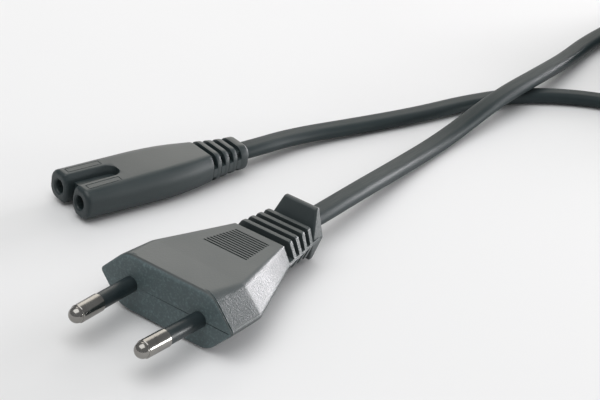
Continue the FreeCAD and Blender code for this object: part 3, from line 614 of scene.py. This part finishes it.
pins, sleeves = [], []
for name, side in (("left", -1), ("right", 1)):
    shank = turned(pin_profile(), side)
    pins.append(make_piece(f"pin_shank_{name}", [shank], [f"pin_{name}"], 30))
    cover = turned(sleeve_profile(), side)
    sleeves.append(make_piece(f"pin_cover_{name}", [cover], [f"pin_sleeve_{name}"], 30))

# %% [markdown]
# ## The figure-eight connector
# The connector is a rounded bar that narrows to its cord. A keyway runs along its top and its
# underside from the front, so that its face looks like an eight, with a contact hole in each half.
# Its width follows measured points, and its height falls off a little towards both ends.

# %% Outline of the connector
CONNECTOR_PLACE = np.array([-47.3, 7.8, 4.1])
CONNECTOR_TURN = math.radians(-14.55)
CONNECTOR_LENGTH, CONNECTOR_HALF_HEIGHT, CONNECTOR_RAIL = 49.7, 4.1, 0.75
TAIL_DROP, FRONT_DROP = 0.75, 0.42
OUTLINE_Y = [0, 23, 30, 38, 45, 49.7, 60]
OUTLINE_HALF_WIDTH = [8.05, 8.05, 7.45, 5.95, 4.65, 4.35, 4.35]
KEY_HALF, KEY_DEPTH, KEY_LENGTH, WEB_FRONT = 2.3, 2.1, 13.2, 2.4


def connector_half_width(y):
    """The measured outline, averaged over 6 mm so that its bends are soft."""
    window = np.linspace(-3, 3, 25)
    return np.interp(y[:, None] + window, OUTLINE_Y, OUTLINE_HALF_WIDTH).mean(axis=1)


def connector_half_height(y):
    """The full height, less a soft step from 26 to 50 mm and an even slope over the first 20 mm."""
    tail = TAIL_DROP * smooth((y - 26) / 24)
    front = FRONT_DROP * np.clip(1 - y / 20, 0, 1)
    return CONNECTOR_HALF_HEIGHT - tail - front


def key_half_width(y):
    """Parallel walls, and a half circle at the closed end."""
    rest = np.clip(y - (KEY_LENGTH - KEY_HALF), 0, KEY_HALF)
    return np.maximum(np.sqrt(np.maximum(KEY_HALF**2 - rest**2, 0)), 0.03)


ends = np.array([0.0, CONNECTOR_LENGTH])
print("half widths:", connector_half_width(ends), "half heights:", connector_half_height(ends))

# %% [markdown]
# As on the plug, each row is made from a quarter: the side, a large round edge, the flat with fine
# panel lines, and the keyway's wall and floor. The wall bulges, because each half of the eight is
# round, and in front of the web it goes on down to mid height.

# %% A quarter of the connector
FLAT_X, FLAT_MIDDLE, EDGE_END = np.array([5.0, 4.88, 4.76, 3.44, 3.32, 3.2]), 4.7, 1.096
PANEL_LINE, PANEL_START, PANEL_END = 0.16, 2.0, 11.0
LONG_LINES, CROSS_LINE = np.array([0, 1, 0, 0, 1, 0]), np.array([0, 1, 1, 1, 1, 0])
LIP_X, LIP_LIMIT, LIP_Z = [0.5, 0.2, 0.06], [3.17, 3.15, 3.13], [0.0, 0.04, 0.14]
LIP_DROP, BULGE, UPPER_WALL = 0.3, 0.5, 4


def connector_edge(y, width, height):
    """Rail, round edge and flat with its sunk panel lines, and how far the flat is narrowed."""
    radius = height - CONNECTOR_RAIL
    middle = width - radius
    turn = np.arccos((EDGE_END - 1) * middle / radius)[:, None] * np.linspace(0, 1, 12)
    middle, radius = middle[:, None], radius[:, None]
    rail = pair(width[:, None], CONNECTOR_RAIL * np.linspace(0, 1, 3))
    edge = pair(middle + radius * np.cos(turn), CONNECTOR_RAIL + radius * np.sin(turn))
    shrink = middle / FLAT_MIDDLE
    crossing = (np.abs(y - PANEL_START) < 0.01) | (np.abs(y - PANEL_END) < 0.01)
    in_panel = (y > PANEL_START - 0.1) & (y < PANEL_END + 0.1)
    panel = np.where(crossing[:, None], CROSS_LINE, in_panel[:, None] * LONG_LINES) * PANEL_LINE
    past = np.maximum(FLAT_X * shrink - middle, 0)
    flat = pair(FLAT_X * shrink, CONNECTOR_RAIL + np.sqrt(radius**2 - past**2) - panel)
    return np.concatenate([rail, edge, flat], axis=1), shrink


def keyway(y, height, inset, key):
    """Lip and wall, which bulges by half the root of one minus the squared share of the height."""
    shoulder = height[:, None] - LIP_DROP
    floor_z = CONNECTOR_HALF_HEIGHT - KEY_DEPTH
    before_web = key[:, None] > 1.5
    upper_z = shoulder + (floor_z - shoulder) * np.linspace(0, 1, UPPER_WALL)
    lower_z = np.where(before_web, [floor_z / 2, 0.0], floor_z)
    wall_z = np.concatenate([upper_z, lower_z], axis=1)
    bulge = BULGE * np.sqrt(np.maximum(1 - (wall_z / shoulder) ** 2, 0))
    wall_x = key_half_width(y)[:, None] * (1 - bulge) + inset[:, None] * 0.8
    wall_x[:, UPPER_WALL:] *= np.where(before_web, 1.0, [0.8, 0.6])
    lip = np.minimum(wall_x[:, :1] + LIP_X, LIP_LIMIT)
    x = np.concatenate([lip, wall_x], axis=1)
    z = np.concatenate([height[:, None] - LIP_Z, wall_z], axis=1)
    at_slot = (y < KEY_LENGTH + 0.1)[:, None]
    x = np.where(at_slot, x, np.linspace(3.0, 0.6, x.shape[1]))
    return x, np.where(key[:, None] > 0.5, z, height[:, None])


def connector_quarter(y, inset, key):
    """From the side up to the middle: rail, round edge, flat, and the keyway's wall and floor."""
    height = connector_half_height(y) - inset
    outside, shrink = connector_edge(y, connector_half_width(y) - inset, height)
    x, z = keyway(y, height, inset, key)
    x = x * shrink
    floor = pair(x[:, -1:] * [0.5, 0.0], z[:, -1:])
    return np.concatenate([outside, pair(x, z), floor], axis=1)


print("points in a quarter:", connector_quarter(ends, 0 * ends, 0 * ends).shape[1])

# %% [markdown]
# The rows stand close together where the shape changes quickly: at the rolled front edge, at the
# panel lines and at the keyway's round end. In the tail they step down to a core for the grooves.

# %% Rows of the connector
PANEL_SIDES = np.array([-0.12, 0, 0.12])
TAIL_START, TAIL_PITCH, TAIL_COUNT, TAIL_GROOVE, TAIL_ROUND = 37.55, 2.72, 4, 1.3, 0.9


def connector_rows():
    """Setback, inset, keyway (2 in front of the web, 1 above it) and groove of each row."""
    turn = np.radians(np.linspace(0, 90, 7))
    front = np.c_[1 - np.cos(turn), 1 - np.sin(turn), 2 + 0 * turn, 0 * turn]
    open_y = np.r_[1.4, PANEL_START + PANEL_SIDES, WEB_FRONT]
    slot_y = np.r_[WEB_FRONT, np.linspace(3, 10, 8), PANEL_END + PANEL_SIDES]
    round_end = [11.5, 12.0, 12.4, 12.75, 13.0, 13.12, 13.19]
    y = np.r_[open_y, slot_y, round_end]
    key = np.where(np.arange(len(y)) < len(open_y), 2, 1)
    barrel = np.c_[y, 0 * y, key, 0 * y]
    y = np.r_[KEY_LENGTH, 13.5, np.linspace(15, 37, 20)]
    middle = np.c_[y, 0 * y, 0 * y, 0 * y]
    edge = np.array([-0.25, -0.05, 0, 0])
    starts = TAIL_START + TAIL_PITCH * np.arange(TAIL_COUNT)
    y = starts[:, None] + np.r_[edge, TAIL_GROOVE - edge[::-1]]
    inset = np.tile([0, 0.06, 0.2, 0, 0, 0.2, 0.06, 0], TAIL_COUNT)
    groove = np.tile([0, 0, 0, 1.0, 1, 0, 0, 0], TAIL_COUNT)
    tail = np.c_[y.ravel(), inset, 0 * inset, groove]
    y = CONNECTOR_LENGTH - TAIL_ROUND + TAIL_ROUND * np.sin(turn)
    collar = np.c_[y, TAIL_ROUND * (1 - np.cos(turn)), 0 * turn, 0 * turn]
    return np.concatenate([front, barrel, middle, tail, collar]).T


bar_rows = connector_rows()
print("rows of the connector:", bar_rows.shape[1])

# %% Skin of the connector
TAIL_CORE_DEPTH, TAIL_CORE_WIDTH, UNCUT_ABOVE, UNCUT_BELOW = 0.95, 3.5, 0.76, 1.9
WEB_POINTS = 2


def on_connector(shell):
    """Turn about the upright axis and move to the connector's place on the table."""
    points, faces = shell
    points = np.asarray(points).reshape(-1, 3)
    c, s = math.cos(CONNECTOR_TURN), math.sin(CONNECTOR_TURN)
    turn = np.array([[c, s, 0], [-s, c, 0], [0, 0, 1]])
    return points @ turn + CONNECTOR_PLACE, faces


def grooved(quarter, groove, start):
    """Step the rows of a groove down to a core, and leave the side uncut up to a height."""
    depth = quarter[..., 1].max(axis=1, keepdims=True) - TAIL_CORE_DEPTH
    core = pair(np.clip(quarter[..., 0], 0, TAIL_CORE_WIDTH), np.minimum(quarter[..., 1], depth))
    core = np.where(quarter[..., 1:] < start, quarter, core)
    mix = groove[:, None, None]
    return quarter * (1 - mix) + core * mix


def connector_skin(y, inset, key, groove):
    """Loops of the skin, the points in a quarter, and the number of rows in front of the web."""
    quarter = connector_quarter(y, inset, key)
    upper = set_back(grooved(quarter, groove, UNCUT_ABOVE), y[:, None])
    lower = set_back(grooved(quarter, groove, UNCUT_BELOW), y[:, None]) * (1, 1, -1)
    return full_loops(upper, lower[:, 1:]), quarter.shape[1], int((key > 1.5).sum())


def connector_skin_faces(rows, columns, count, open_rows):
    """Leave out the quads before the web, close web and rear, and say where a barrel's loop ends."""
    upper_right, lower_right = 2 * count - 2 - WEB_POINTS, WEB_POINTS
    upper_left, lower_left = 2 * (2 * count - 2) - upper_right, columns - WEB_POINTS
    quads = np.array(grid_faces(rows, columns)).reshape(rows - 1, columns, 4)
    keep = np.ones((rows - 1, columns), bool)
    keep[:open_rows, np.r_[:lower_right, upper_right:upper_left, lower_left:columns]] = False
    first = open_rows * columns
    before = first - columns
    top = [first + j for j in range(upper_right, upper_left + 1)]
    bottom = [first + j % columns for j in range(lower_left, columns + lower_right + 1)]
    web_face = top + [before + upper_left] + bottom + [before + upper_right]
    faces = quads[keep].tolist() + [web_face, row_face(rows - 1, columns)]
    return faces, lower_right, upper_right


skin, quarter_count, open_rows = connector_skin(*bar_rows)
sizes = (*skin.shape[:2], quarter_count, open_rows)
skin_faces, barrel_start, barrel_end = connector_skin_faces(*sizes)
print("connector grid:", skin.shape[:2])

# %% [markdown]
# Each barrel's face needs its hole. The whole outline can be seen from the hole's middle, so a ring
# of faces joins every point of the outline to the point of the rim at the same angle. From the rim
# the wall goes in past a small bevel, and widens round the insert behind it.

# %% Connector face with its contact holes
HOLE_X = 4.3
HOLE_RADII = np.array([2.05, 1.95, 1.75, 1.62, 1.6, 1.6, 2.52, 2.52])[:, None]
HOLE_SETBACKS = np.array([0.0, 0.08, 0.25, 0.5, 0.7, 3.0, 3.0, 20.0])[:, None]


def face_shell(outline, side):
    """The outline, then rings round the hole at the angles of the outline's points."""
    centre = side * HOLE_X
    angle = np.arctan2(outline[:, 2], outline[:, 0] - centre)
    rings = pair(centre + HOLE_RADII * np.cos(angle), HOLE_RADII * np.sin(angle))
    points = np.concatenate([outline[None], set_back(rings, HOLE_SETBACKS)])
    rows, columns = points.shape[:2]
    return points, grid_faces(rows, columns) + [row_face(rows - 1, columns)]


right_outline = skin[0, barrel_start : barrel_end + 1]
left_outline = right_outline * (-1, 1, 1)
shells = [(skin, skin_faces), face_shell(right_outline, 1), face_shell(left_outline, -1)]
shells = [on_connector(shell) for shell in shells]
connector = make_piece("connector_moulding", shells, ["connector_body"])

# %% [markdown]
# ## The tie round the coil
# The put-away length is held by one soft band. Its section follows the bundle's rounded outline,
# 0.8 mm out, and it is carried round a short arc of the coil.

# %% Coil tie
TIE_DEGREES, TIE_BAND, TIE_SOFT = 14.0, 0.8, 0.8
# inner and outer radius, bottom, top and corner radius
BUNDLE = np.array([23.65, 35.05, 0.8, 14.8, 1.5])
GROW = np.array([-1, 1, -1, 1, 1])


def rounded_box(inner, outer, bottom, top, radius, per_corner=8):
    """A rectangle with round corners: a quarter circle about each corner's own centre."""
    quarter_turn = math.pi / 2
    angle = np.linspace(0, quarter_turn, per_corner) + np.arange(4)[:, None] * quarter_turn
    x = np.array([outer - radius, inner + radius, inner + radius, outer - radius])[:, None]
    z = np.array([top - radius, top - radius, bottom + radius, bottom + radius])[:, None]
    return pair(x + radius * np.cos(angle), z + radius * np.sin(angle)).reshape(-1, 2)


def tie_shell():
    """Rings from the inside out, along the arc and back in, joined into one closed band."""
    inside = rounded_box(*BUNDLE)
    outside = rounded_box(*(BUNDLE + TIE_BAND * GROW))
    soft = inside + (outside - inside) * TIE_SOFT
    span = math.radians(TIE_DEGREES) / 2
    turn = span * np.array([-1, -1, -0.97, 0, 0.97, 1, 1])
    rings = np.stack([inside, soft, outside, outside, outside, soft, inside])
    angle = math.pi / 2 + turn[:, None]
    x = COIL_CENTRE[0] + rings[..., 0] * np.cos(angle)
    y = COIL_CENTRE[1] + rings[..., 0] * np.sin(angle)
    points = np.stack([x, y, rings[..., 1]], axis=-1)
    points = np.concatenate([points, points[:1]])
    return points, grid_faces(*points.shape[:2])


tie = make_piece("coil_band", [tie_shell()], ["coil_tie"])

# %% [markdown]
# ## Finishes
# Three effects come back in several finishes, so each is a node group: a fine moulded grain, the
# coarser sparkle of a spark-eroded mould, and the uneven sheen that handling leaves. Groups give out
# heights and masks only. The sparkle's glint mask speckles the front faces' painted tone with painted
# glints. The shader with its fixed numbers stays in each material.

# %% Node groups


def feed(tree, socket, value):
    """Link another node's output to a socket, or set the socket; colours get an alpha of 1."""
    if isinstance(value, bpy.types.NodeSocket):
        tree.links.new(value, socket)
    else:
        socket.default_value = (*value, 1) if socket.type == "RGBA" else value


def node(tree, kind, sockets=(), **properties):
    """Add a shader node, set its properties, then feed its sockets by name or place."""
    made = tree.nodes.new("ShaderNode" + kind)
    for name, value in properties.items():
        setattr(made, name, value)
    for key, value in dict(sockets).items():
        feed(tree, made.inputs[key], value)
    return made


def maths(tree, operation, *values):
    """A Math node on numbers or other nodes' outputs."""
    return node(tree, "Math", enumerate(values), operation=operation).outputs["Value"]


def mapped(tree, value, from_low, from_high, to_low, to_high):
    """Carry a value from one range to another."""
    limits = {"From Min": from_low, "From Max": from_high, "To Min": to_low, "To Max": to_high}
    return node(tree, "MapRange", {"Value": value, **limits}).outputs["Result"]


def new_group(name, outputs):
    """A group that takes a place and a scale and gives numbers; its inner ends are returned."""
    group = bpy.data.node_groups.new(name, "ShaderNodeTree")
    sockets = [("Vector", "INPUT", "NodeSocketVector"), ("Scale", "INPUT", "NodeSocketFloat")]
    sockets += [(label, "OUTPUT", "NodeSocketFloat") for label in outputs]
    for label, end, kind in sockets:
        group.interface.new_socket(name=label, in_out=end, socket_type=kind)
    enter = group.nodes.new("NodeGroupInput").outputs
    leave = group.nodes.new("NodeGroupOutput").inputs
    return group, {"Vector": enter["Vector"], "Scale": enter["Scale"]}, leave


grain_group, enter, leave = new_group("moulded_grain", ["Height"])
fine = node(grain_group, "TexNoise", {**enter, "Detail": 3.0}).outputs["Fac"]
cells = node(grain_group, "TexVoronoi", enter).outputs["Distance"]
feed(grain_group, leave["Height"], maths(grain_group, "ADD", fine, cells))

spark_group, enter, leave = new_group("spark_texture", ["Height", "PaintedGlint"])
eroded = {**enter, "Detail": 5.0, "Roughness": 0.7}
pits = node(spark_group, "TexNoise", eroded).outputs["Fac"]
feed(spark_group, leave["Height"], pits)
# the glint mask speckles the mouldings' painted front tone: painted glints, not a real colour
feed(spark_group, leave["PaintedGlint"], mapped(spark_group, pits, 0.5, 0.68, 0, 1))

sheen_group, enter, leave = new_group("handled_sheen", ["Mask"])
smeared = {**enter, "Detail": 4.0, "Distortion": 0.6}
smear = node(sheen_group, "TexNoise", smeared).outputs["Fac"]
feed(sheen_group, leave["Mask"], mapped(sheen_group, smear, 0.3, 0.72, 0, 1))
print("groups:", [g.name for g in bpy.data.node_groups])

# %% [markdown]
# ### Black PVC of the mouldings
# Soft PVC is a very dark grey. Its broad faces are smooth and satin, and the sloping sides and the
# front keep the sparkle of the eroded mould. They are told apart by two attributes, which are worked
# out from the way each face looks. The front faces also take a painted tone, pale: paler on the plug,
# which is painted light, and darker on the connector, which is painted shade.

# %% Material helpers
SIDE_FROM, SIDE_OVER, FRONT_FROM, FRONT_OVER = 0.45, 0.2, 0.4, 0.4


def new_material(name):
    """A material with a shader, its node tree, and the object's own coordinates as a place."""
    material = bpy.data.materials.new(name)
    material.use_nodes = True
    tree = material.node_tree
    tree.nodes.clear()
    shader = tree.nodes.new("ShaderNodeBsdfPrincipled")
    output = tree.nodes.new("ShaderNodeOutputMaterial")
    tree.links.new(shader.outputs["BSDF"], output.inputs["Surface"])
    place = tree.nodes.new("ShaderNodeTexCoord")
    return material, tree, shader, place.outputs["Object"]


def use_group(tree, group, place, scale):
    """Add a group to a tree and return its outputs."""
    sockets = {"Vector": place, "Scale": scale}
    return node(tree, "Group", sockets, node_tree=group).outputs


def blend_colour(tree, mask, first, second):
    """Mix two colours by a mask; each is three numbers or another node's output."""
    sockets = {"Factor": mask, "A": first, "B": second}
    return node(tree, "Mix", sockets, data_type="RGBA").outputs["Result"]


def bump(tree, height, strength, distance, under=None):
    """A normal that is tilted by a height, over another normal where one is given."""
    sockets = {"Height": height, "Strength": strength, "Distance": distance}
    if under is not None:
        sockets["Normal"] = under
    return node(tree, "Bump", sockets).outputs["Normal"]


def dress(tree, shader, sockets):
    """Feed the shader's own sockets."""
    for label, value in sockets.items():
        feed(tree, shader.inputs[label], value)


def face_vectors(mesh, name):
    """One stored vector for each face, as the rows of an array."""
    values = np.empty(len(mesh.polygons) * 3)
    mesh.polygons.foreach_get(name, values)
    return values.reshape(-1, 3)


def mark_faces(piece, face_y):
    """Store how far each face looks sideways and, in front of face_y, how far it looks forwards."""
    normals = face_vectors(piece.data, "normal")
    centres = face_vectors(piece.data, "center")
    sides = smooth((np.abs(normals[:, 0]) - SIDE_FROM) / SIDE_OVER)
    front = (centres[:, 1] < face_y) * smooth((-normals[:, 1] - FRONT_FROM) / FRONT_OVER)
    for name, values in (("side_face", sides), ("front_face", front)):
        piece.data.attributes.new(name, "FLOAT", "FACE").data.foreach_set("value", values)
    print(f"{piece.name}: {np.count_nonzero(front)} front and {np.count_nonzero(sides)} side faces")


# front_face says where the mouldings get their painted front tone
plug_face, connector_face = (PLUG_FRONT + 2) * MM, (CONNECTOR_PLACE[1] + 3) * MM
for piece, face_y in ((plug, plug_face), (flange, plug_face), (connector, connector_face)):
    mark_faces(piece, face_y)


# %% Moulding material
def moulding_material(name, dark, light, pale, roughness, side_roughness, face_roughness, sparkle):
    """Satin on broad faces; sides and front keep the mould's sparkle, each with its own gloss; front
    faces take the painted tone pale.
    """
    material, tree, shader, place = new_material(name)
    grain = use_group(tree, grain_group, place, 2600.0)
    spark = use_group(tree, spark_group, place, 1700.0)
    sheen = use_group(tree, sheen_group, place, 70.0)
    side = node(tree, "Attribute", attribute_name="side_face").outputs["Fac"]
    front = node(tree, "Attribute", attribute_name="front_face").outputs["Fac"]
    handled = blend_colour(tree, sheen["Mask"], dark, light)
    # painted light or shade: front faces are painted the tone pale, speckled by the painted glints
    painted_front_mask = maths(tree, "MULTIPLY", mapped(tree, spark["PaintedGlint"], 0, 1, 0.45, 1.0), front)
    gloss = mapped(tree, sheen["Mask"], 0, 1, roughness - 0.04, roughness + 0.05)
    gloss = maths(tree, "MULTIPLY_ADD", side, side_roughness - roughness, gloss)
    gloss = maths(tree, "MULTIPLY_ADD", front, face_roughness - roughness, gloss)
    pitted = maths(tree, "MULTIPLY", spark["Height"], maths(tree, "MAXIMUM", side, front))
    under = bump(tree, grain["Height"], 0.12, 0.0001)
    dress(tree, shader, {
        "Base Color": blend_colour(tree, painted_front_mask, handled, pale),
        "Roughness": gloss,
        "Normal": bump(tree, pitted, sparkle, 0.00025, under),
        "IOR": 1.5,
    })
    return material


# pale is painted light: the plug's front face is painted paler, as if lit from the front
plug_pvc = moulding_material(
    "plug_pvc",
    dark=(0.034, 0.045, 0.047), light=(0.044, 0.055, 0.056), pale=(0.125, 0.178, 0.186),
    roughness=0.42, side_roughness=0.36, face_roughness=0.56, sparkle=0.4,
)
# pale is painted shade here: the connector's front face is painted darker
connector_pvc = moulding_material(
    "connector_pvc",
    dark=(0.019, 0.030, 0.032), light=(0.027, 0.038, 0.040), pale=(0.009, 0.019, 0.022),
    roughness=0.36, side_roughness=0.55, face_roughness=0.44, sparkle=0.1,
)
plug.data.materials.append(plug_pvc)
flange.data.materials.append(plug_pvc)
connector.data.materials.append(connector_pvc)
print("mouldings:", plug_pvc.name, connector_pvc.name)

# %% [markdown]
# ### The other finishes
# The cord's jacket is extruded, so its faint streaks run along it. Nickel keeps the rings that
# turning leaves. The inner pieces are seldom seen, and get plain finishes with a little unevenness.

# %% Cord material
jacket, tree, shader, place = new_material("cord_jacket")
wrap = node(tree, "UVMap", uv_map="jacket").outputs["UV"]
stretch = node(tree, "Mapping", {"Vector": wrap, "Scale": (1.0, 3.0, 1.0)})
streaked = {"Vector": stretch.outputs["Vector"], "Scale": 42.0, "Detail": 3.0}
streaks = node(tree, "TexNoise", streaked).outputs["Fac"]
sheen = use_group(tree, sheen_group, place, 45.0)
grain = use_group(tree, grain_group, place, 3200.0)
under = bump(tree, grain["Height"], 0.1, 0.0001)
dress(tree, shader, {
    "Base Color": blend_colour(tree, sheen["Mask"], (0.019, 0.029, 0.031), (0.027, 0.036, 0.038)),
    "Roughness": mapped(tree, streaks, 0.3, 0.7, 0.43, 0.53),
    "Specular IOR Level": 0.16,
    "Normal": bump(tree, streaks, 0.15, 0.0001, under),
})
cord.data.materials.append(jacket)
print("cord:", jacket.name)

# %% Pin material
nickel, tree, shader, place = new_material("pin_nickel")
turning = {"Vector": place, "Scale": 2600.0, "Distortion": 1.2, "Detail": 2.0}
rings = node(tree, "TexWave", turning, wave_type="BANDS", bands_direction="Y")
sheen = use_group(tree, sheen_group, place, 220.0)
dress(tree, shader, {
    "Base Color": blend_colour(tree, sheen["Mask"], (0.26, 0.25, 0.235), (0.33, 0.32, 0.30)),
    "Roughness": mapped(tree, sheen["Mask"], 0, 1, 0.15, 0.21),
    "Normal": bump(tree, rings.outputs["Fac"], 0.015, 0.00005),
    "Metallic": 1.0,
})
for pin in pins:
    pin.data.materials.append(nickel)
print("pins:", nickel.name)


# %% Materials of the sleeves, the tie and the inner pieces
def plain_material(name, dark, light, gloss, metal=0.0, mottle=300.0, pitch=2500.0, relief=0.1):
    """Two near tones, a gloss that varies between two values, and a slight grain."""
    material, tree, shader, place = new_material(name)
    sheen = use_group(tree, sheen_group, place, mottle)
    grain = use_group(tree, grain_group, place, pitch)
    dress(tree, shader, {
        "Base Color": blend_colour(tree, sheen["Mask"], dark, light),
        "Roughness": mapped(tree, sheen["Mask"], 0, 1, *gloss),
        "Normal": bump(tree, grain["Height"], relief, 0.0001),
        "Metallic": metal,
    })
    return material


SLEEVE_TONES = (0.013, 0.022, 0.025), (0.022, 0.031, 0.034), (0.34, 0.44)
sleeve_black = plain_material("sleeve_black", *SLEEVE_TONES, 0.0, 160.0, 3000.0, 0.08)
for sleeve in sleeves:
    sleeve.data.materials.append(sleeve_black)
tie_finish = plain_material("tie_band", (0.012, 0.012, 0.013), (0.022, 0.022, 0.022), (0.49, 0.61))
tie.data.materials.append(tie_finish)
# the words that a node's name holds, two tones, gloss, metal
INNER = {
    "carrier_plastic": (("bridge", "insert"), (0.03,) * 3, (0.045,) * 3, (0.44, 0.56), 0.0),
    "contact_brass": (("contact_",), (0.60, 0.46, 0.22), (0.72, 0.58, 0.32), (0.22, 0.34), 1.0),
    "bare_copper": (("_conductor_",), (0.70, 0.36, 0.22), (0.80, 0.46, 0.30), (0.24, 0.36), 1.0),
    "brown_core": (("core_brown",), (0.10, 0.04, 0.018), (0.14, 0.055, 0.025), (0.39, 0.51), 0.0),
    "blue_core": (("core_blue",), (0.02, 0.07, 0.26), (0.03, 0.10, 0.34), (0.39, 0.51), 0.0),
}
for name, (words, *tones) in INNER.items():
    finish = plain_material(name, *tones)
    nodes = [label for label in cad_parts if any(word in label for word in words)]
    for label in nodes:
        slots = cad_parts[label].data.materials
        slots.clear()
        slots.append(finish)
    print(f"{name}: {nodes}")

# %% [markdown]

# %% [markdown]
# ## Table and light
# The picture has an even pale ground, so the floor is one wide pale sheet under an even pale world
# and a wide panel overhead. Dark satin plastic shows mostly what it reflects. Two low panels, behind
# and on the right, brighten the sloping sides, the ends of the ribs and the flange. A large panel at
# the back left, a little warm, lies where the broad top faces reflect it.

# %% Floor
FLOOR_DROP = 0.0003
FLOOR_CORNERS = [(-3, -3, 0), (3, -3, 0), (3, 3, 0), (-3, 3, 0)]
floor_mesh = bpy.data.meshes.new("table")
floor_mesh.from_pydata(FLOOR_CORNERS, [], [(0, 1, 2, 3)])
table = bpy.data.objects.new("table", floor_mesh)
scene.collection.objects.link(table)
table.location.z = -FLOOR_DROP
paper, tree, shader, place = new_material("pale_table")
mottle = node(tree, "TexNoise", {"Vector": place, "Scale": 3.0, "Detail": 2.0})
dress(tree, shader, {
    "Base Color": blend_colour(tree, mottle.outputs["Fac"], (0.80, 0.80, 0.80), (0.83, 0.83, 0.83)),
    "Roughness": 0.9,
    "Specular IOR Level": 0.1,
})
floor_mesh.materials.append(paper)
print("floor:", FLOOR_CORNERS)


# %% Lights
def panel(name, place, target, width, height, power, colour=(1, 1, 1)):
    """A rectangular lamp that looks from its place to a target."""
    lamp = bpy.data.lights.new(name, "AREA")
    lamp.shape = "RECTANGLE"
    lamp.size = width
    lamp.size_y = height
    lamp.energy = power
    lamp.color = colour
    made = bpy.data.objects.new(name, lamp)
    scene.collection.objects.link(made)
    turn = (Vector(target) - Vector(place)).to_track_quat("-Z", "Y")
    made.matrix_world = Matrix.Translation(place) @ turn.to_matrix().to_4x4()
    print(f"{name}: {power} W")


panel("back_low", (0.14, 0.95, 0.13), (0.0, 0.0, 0.02), 0.5, 0.22, 9.3, (1.0, 0.975, 1.0))
panel("right_low", (0.85, 0.85, 0.10), (0.0, 0.0, 0.02), 0.45, 0.20, 7.0)
panel("back_left", (-0.57, 0.87, 0.49), (0.0, 0.0, 0.02), 0.7, 0.8, 2.9, (1.0, 0.95, 0.88))
panel("overhead", (-0.15, -0.30, 1.6), (0.0, 0.05, 0.0), 1.8, 1.8, 19.5)
world = bpy.data.worlds.new("pale_room")
scene.world = world
world.use_nodes = True
background = world.node_tree.nodes["Background"].inputs
background["Color"].default_value = (0.96, 0.98, 1.0, 1)
background["Strength"].default_value = 0.33
scene.view_settings.view_transform = "Standard"
